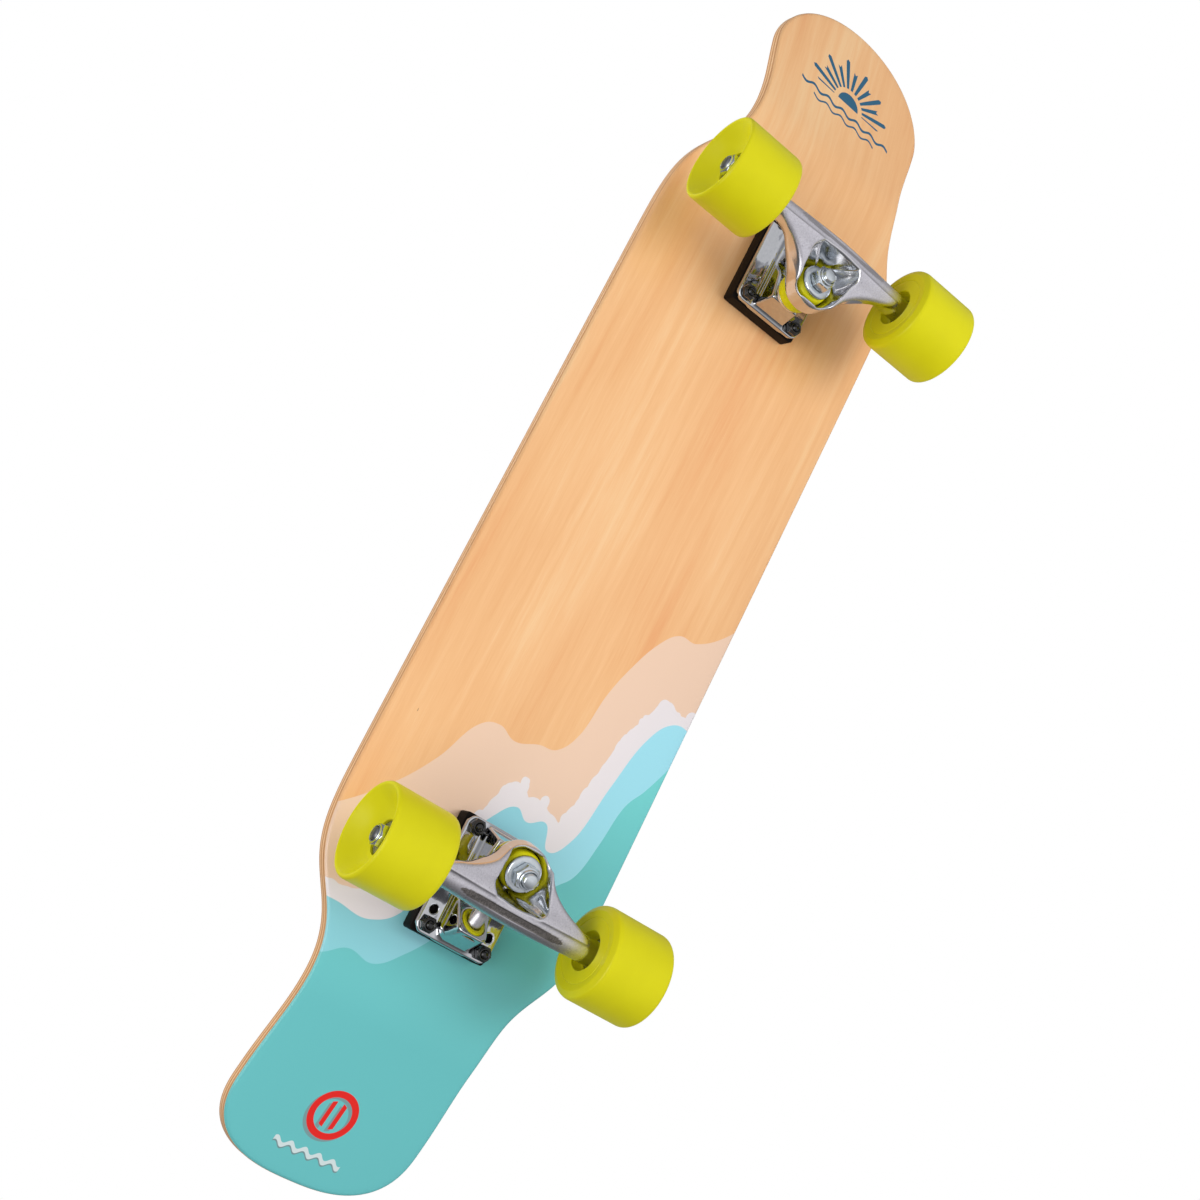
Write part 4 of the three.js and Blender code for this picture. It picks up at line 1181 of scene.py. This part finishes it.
axle_nut = lock_nut(12.7, 4.2, -2.8, 2.8)
BEARING_AT = {"inner": 69.5, "outer": 86.5}
WASHERS_AT = {"hub": 65.35, "tip": 90.6}
AXLE_NUT_AT = 94.1

bearing_steel = plated_steel("ground_steel", (186, 188, 191), 0.12, (1.5, 6, 1.5))
axle_steel = plated_steel("axle_steel", (160, 161, 163), 0.2, (3, 0.4, 3))

for end in ENDS:
    for side, way in SIDES.items():
        corner, hanger_body, wheel_body = f"{end}_{side}", f"{end}_hanger", f"{end}_{side}_wheel"
        for which, distance in BEARING_AT.items():
            node_name = f"{corner}_bearing_{which}"
            at_bearing = out_from(end, way, distance)
            add_part(f"{node_name}_ring", wheel_body, at_bearing, bearing_ring, bearing_steel,
                     node_name)
            add_part(f"{node_name}_race", hanger_body, at_bearing, bearing_race, bearing_steel)
        for which, distance in WASHERS_AT.items():
            add_part(f"{corner}_speed_washer_{which}", hanger_body, out_from(end, way, distance),
                     speed_washer, zinc)
        add_part(f"{corner}_axle_lock_nut", hanger_body, out_from(end, way, AXLE_NUT_AT), axle_nut,
                 zinc, f"{corner}_axle_nut")
        frame["nodes"][f"{corner}_bearing_spacer"].material_slots[0].material = axle_steel

# ---------------------------------------------------------------- axles
# An 8 mm steel rod cast into each hanger, smooth in the middle and threaded at both ends.

AXLE_RADIUS, AXLE_HALF_LENGTH, THREAD_FROM = 3.95, 97.5, 89
smooth_rod = turned(np.array([(0, -THREAD_FROM), (3.6, -THREAD_FROM), (AXLE_RADIUS, 0.4 - THREAD_FROM),
                              (AXLE_RADIUS, THREAD_FROM - 0.4), (3.6, THREAD_FROM), (0, THREAD_FROM)]), 48)
tip = threaded(AXLE_RADIUS, 1.06, THREAD_FROM - 0.2, AXLE_HALF_LENGTH)
axle_points = np.concatenate([smooth_rod[0], tip[0], tip[0] * [-1, 1, -1]])
first_tip = len(smooth_rod[0])
second_tip = first_tip + len(tip[0])
axle_faces = np.concatenate([smooth_rod[1], tip[1] + first_tip, tip[1] + second_tip])
for end in ENDS:
    in_truck, in_kingpin = places[end]
    add_part(f"{end}_axle_rod", f"{end}_hanger", place_of(in_truck(AXLE_IN_TRUCK), [1, 0, 0], [0, 1, 0]),
             (axle_points, axle_faces), axle_steel, f"{end}_axle")
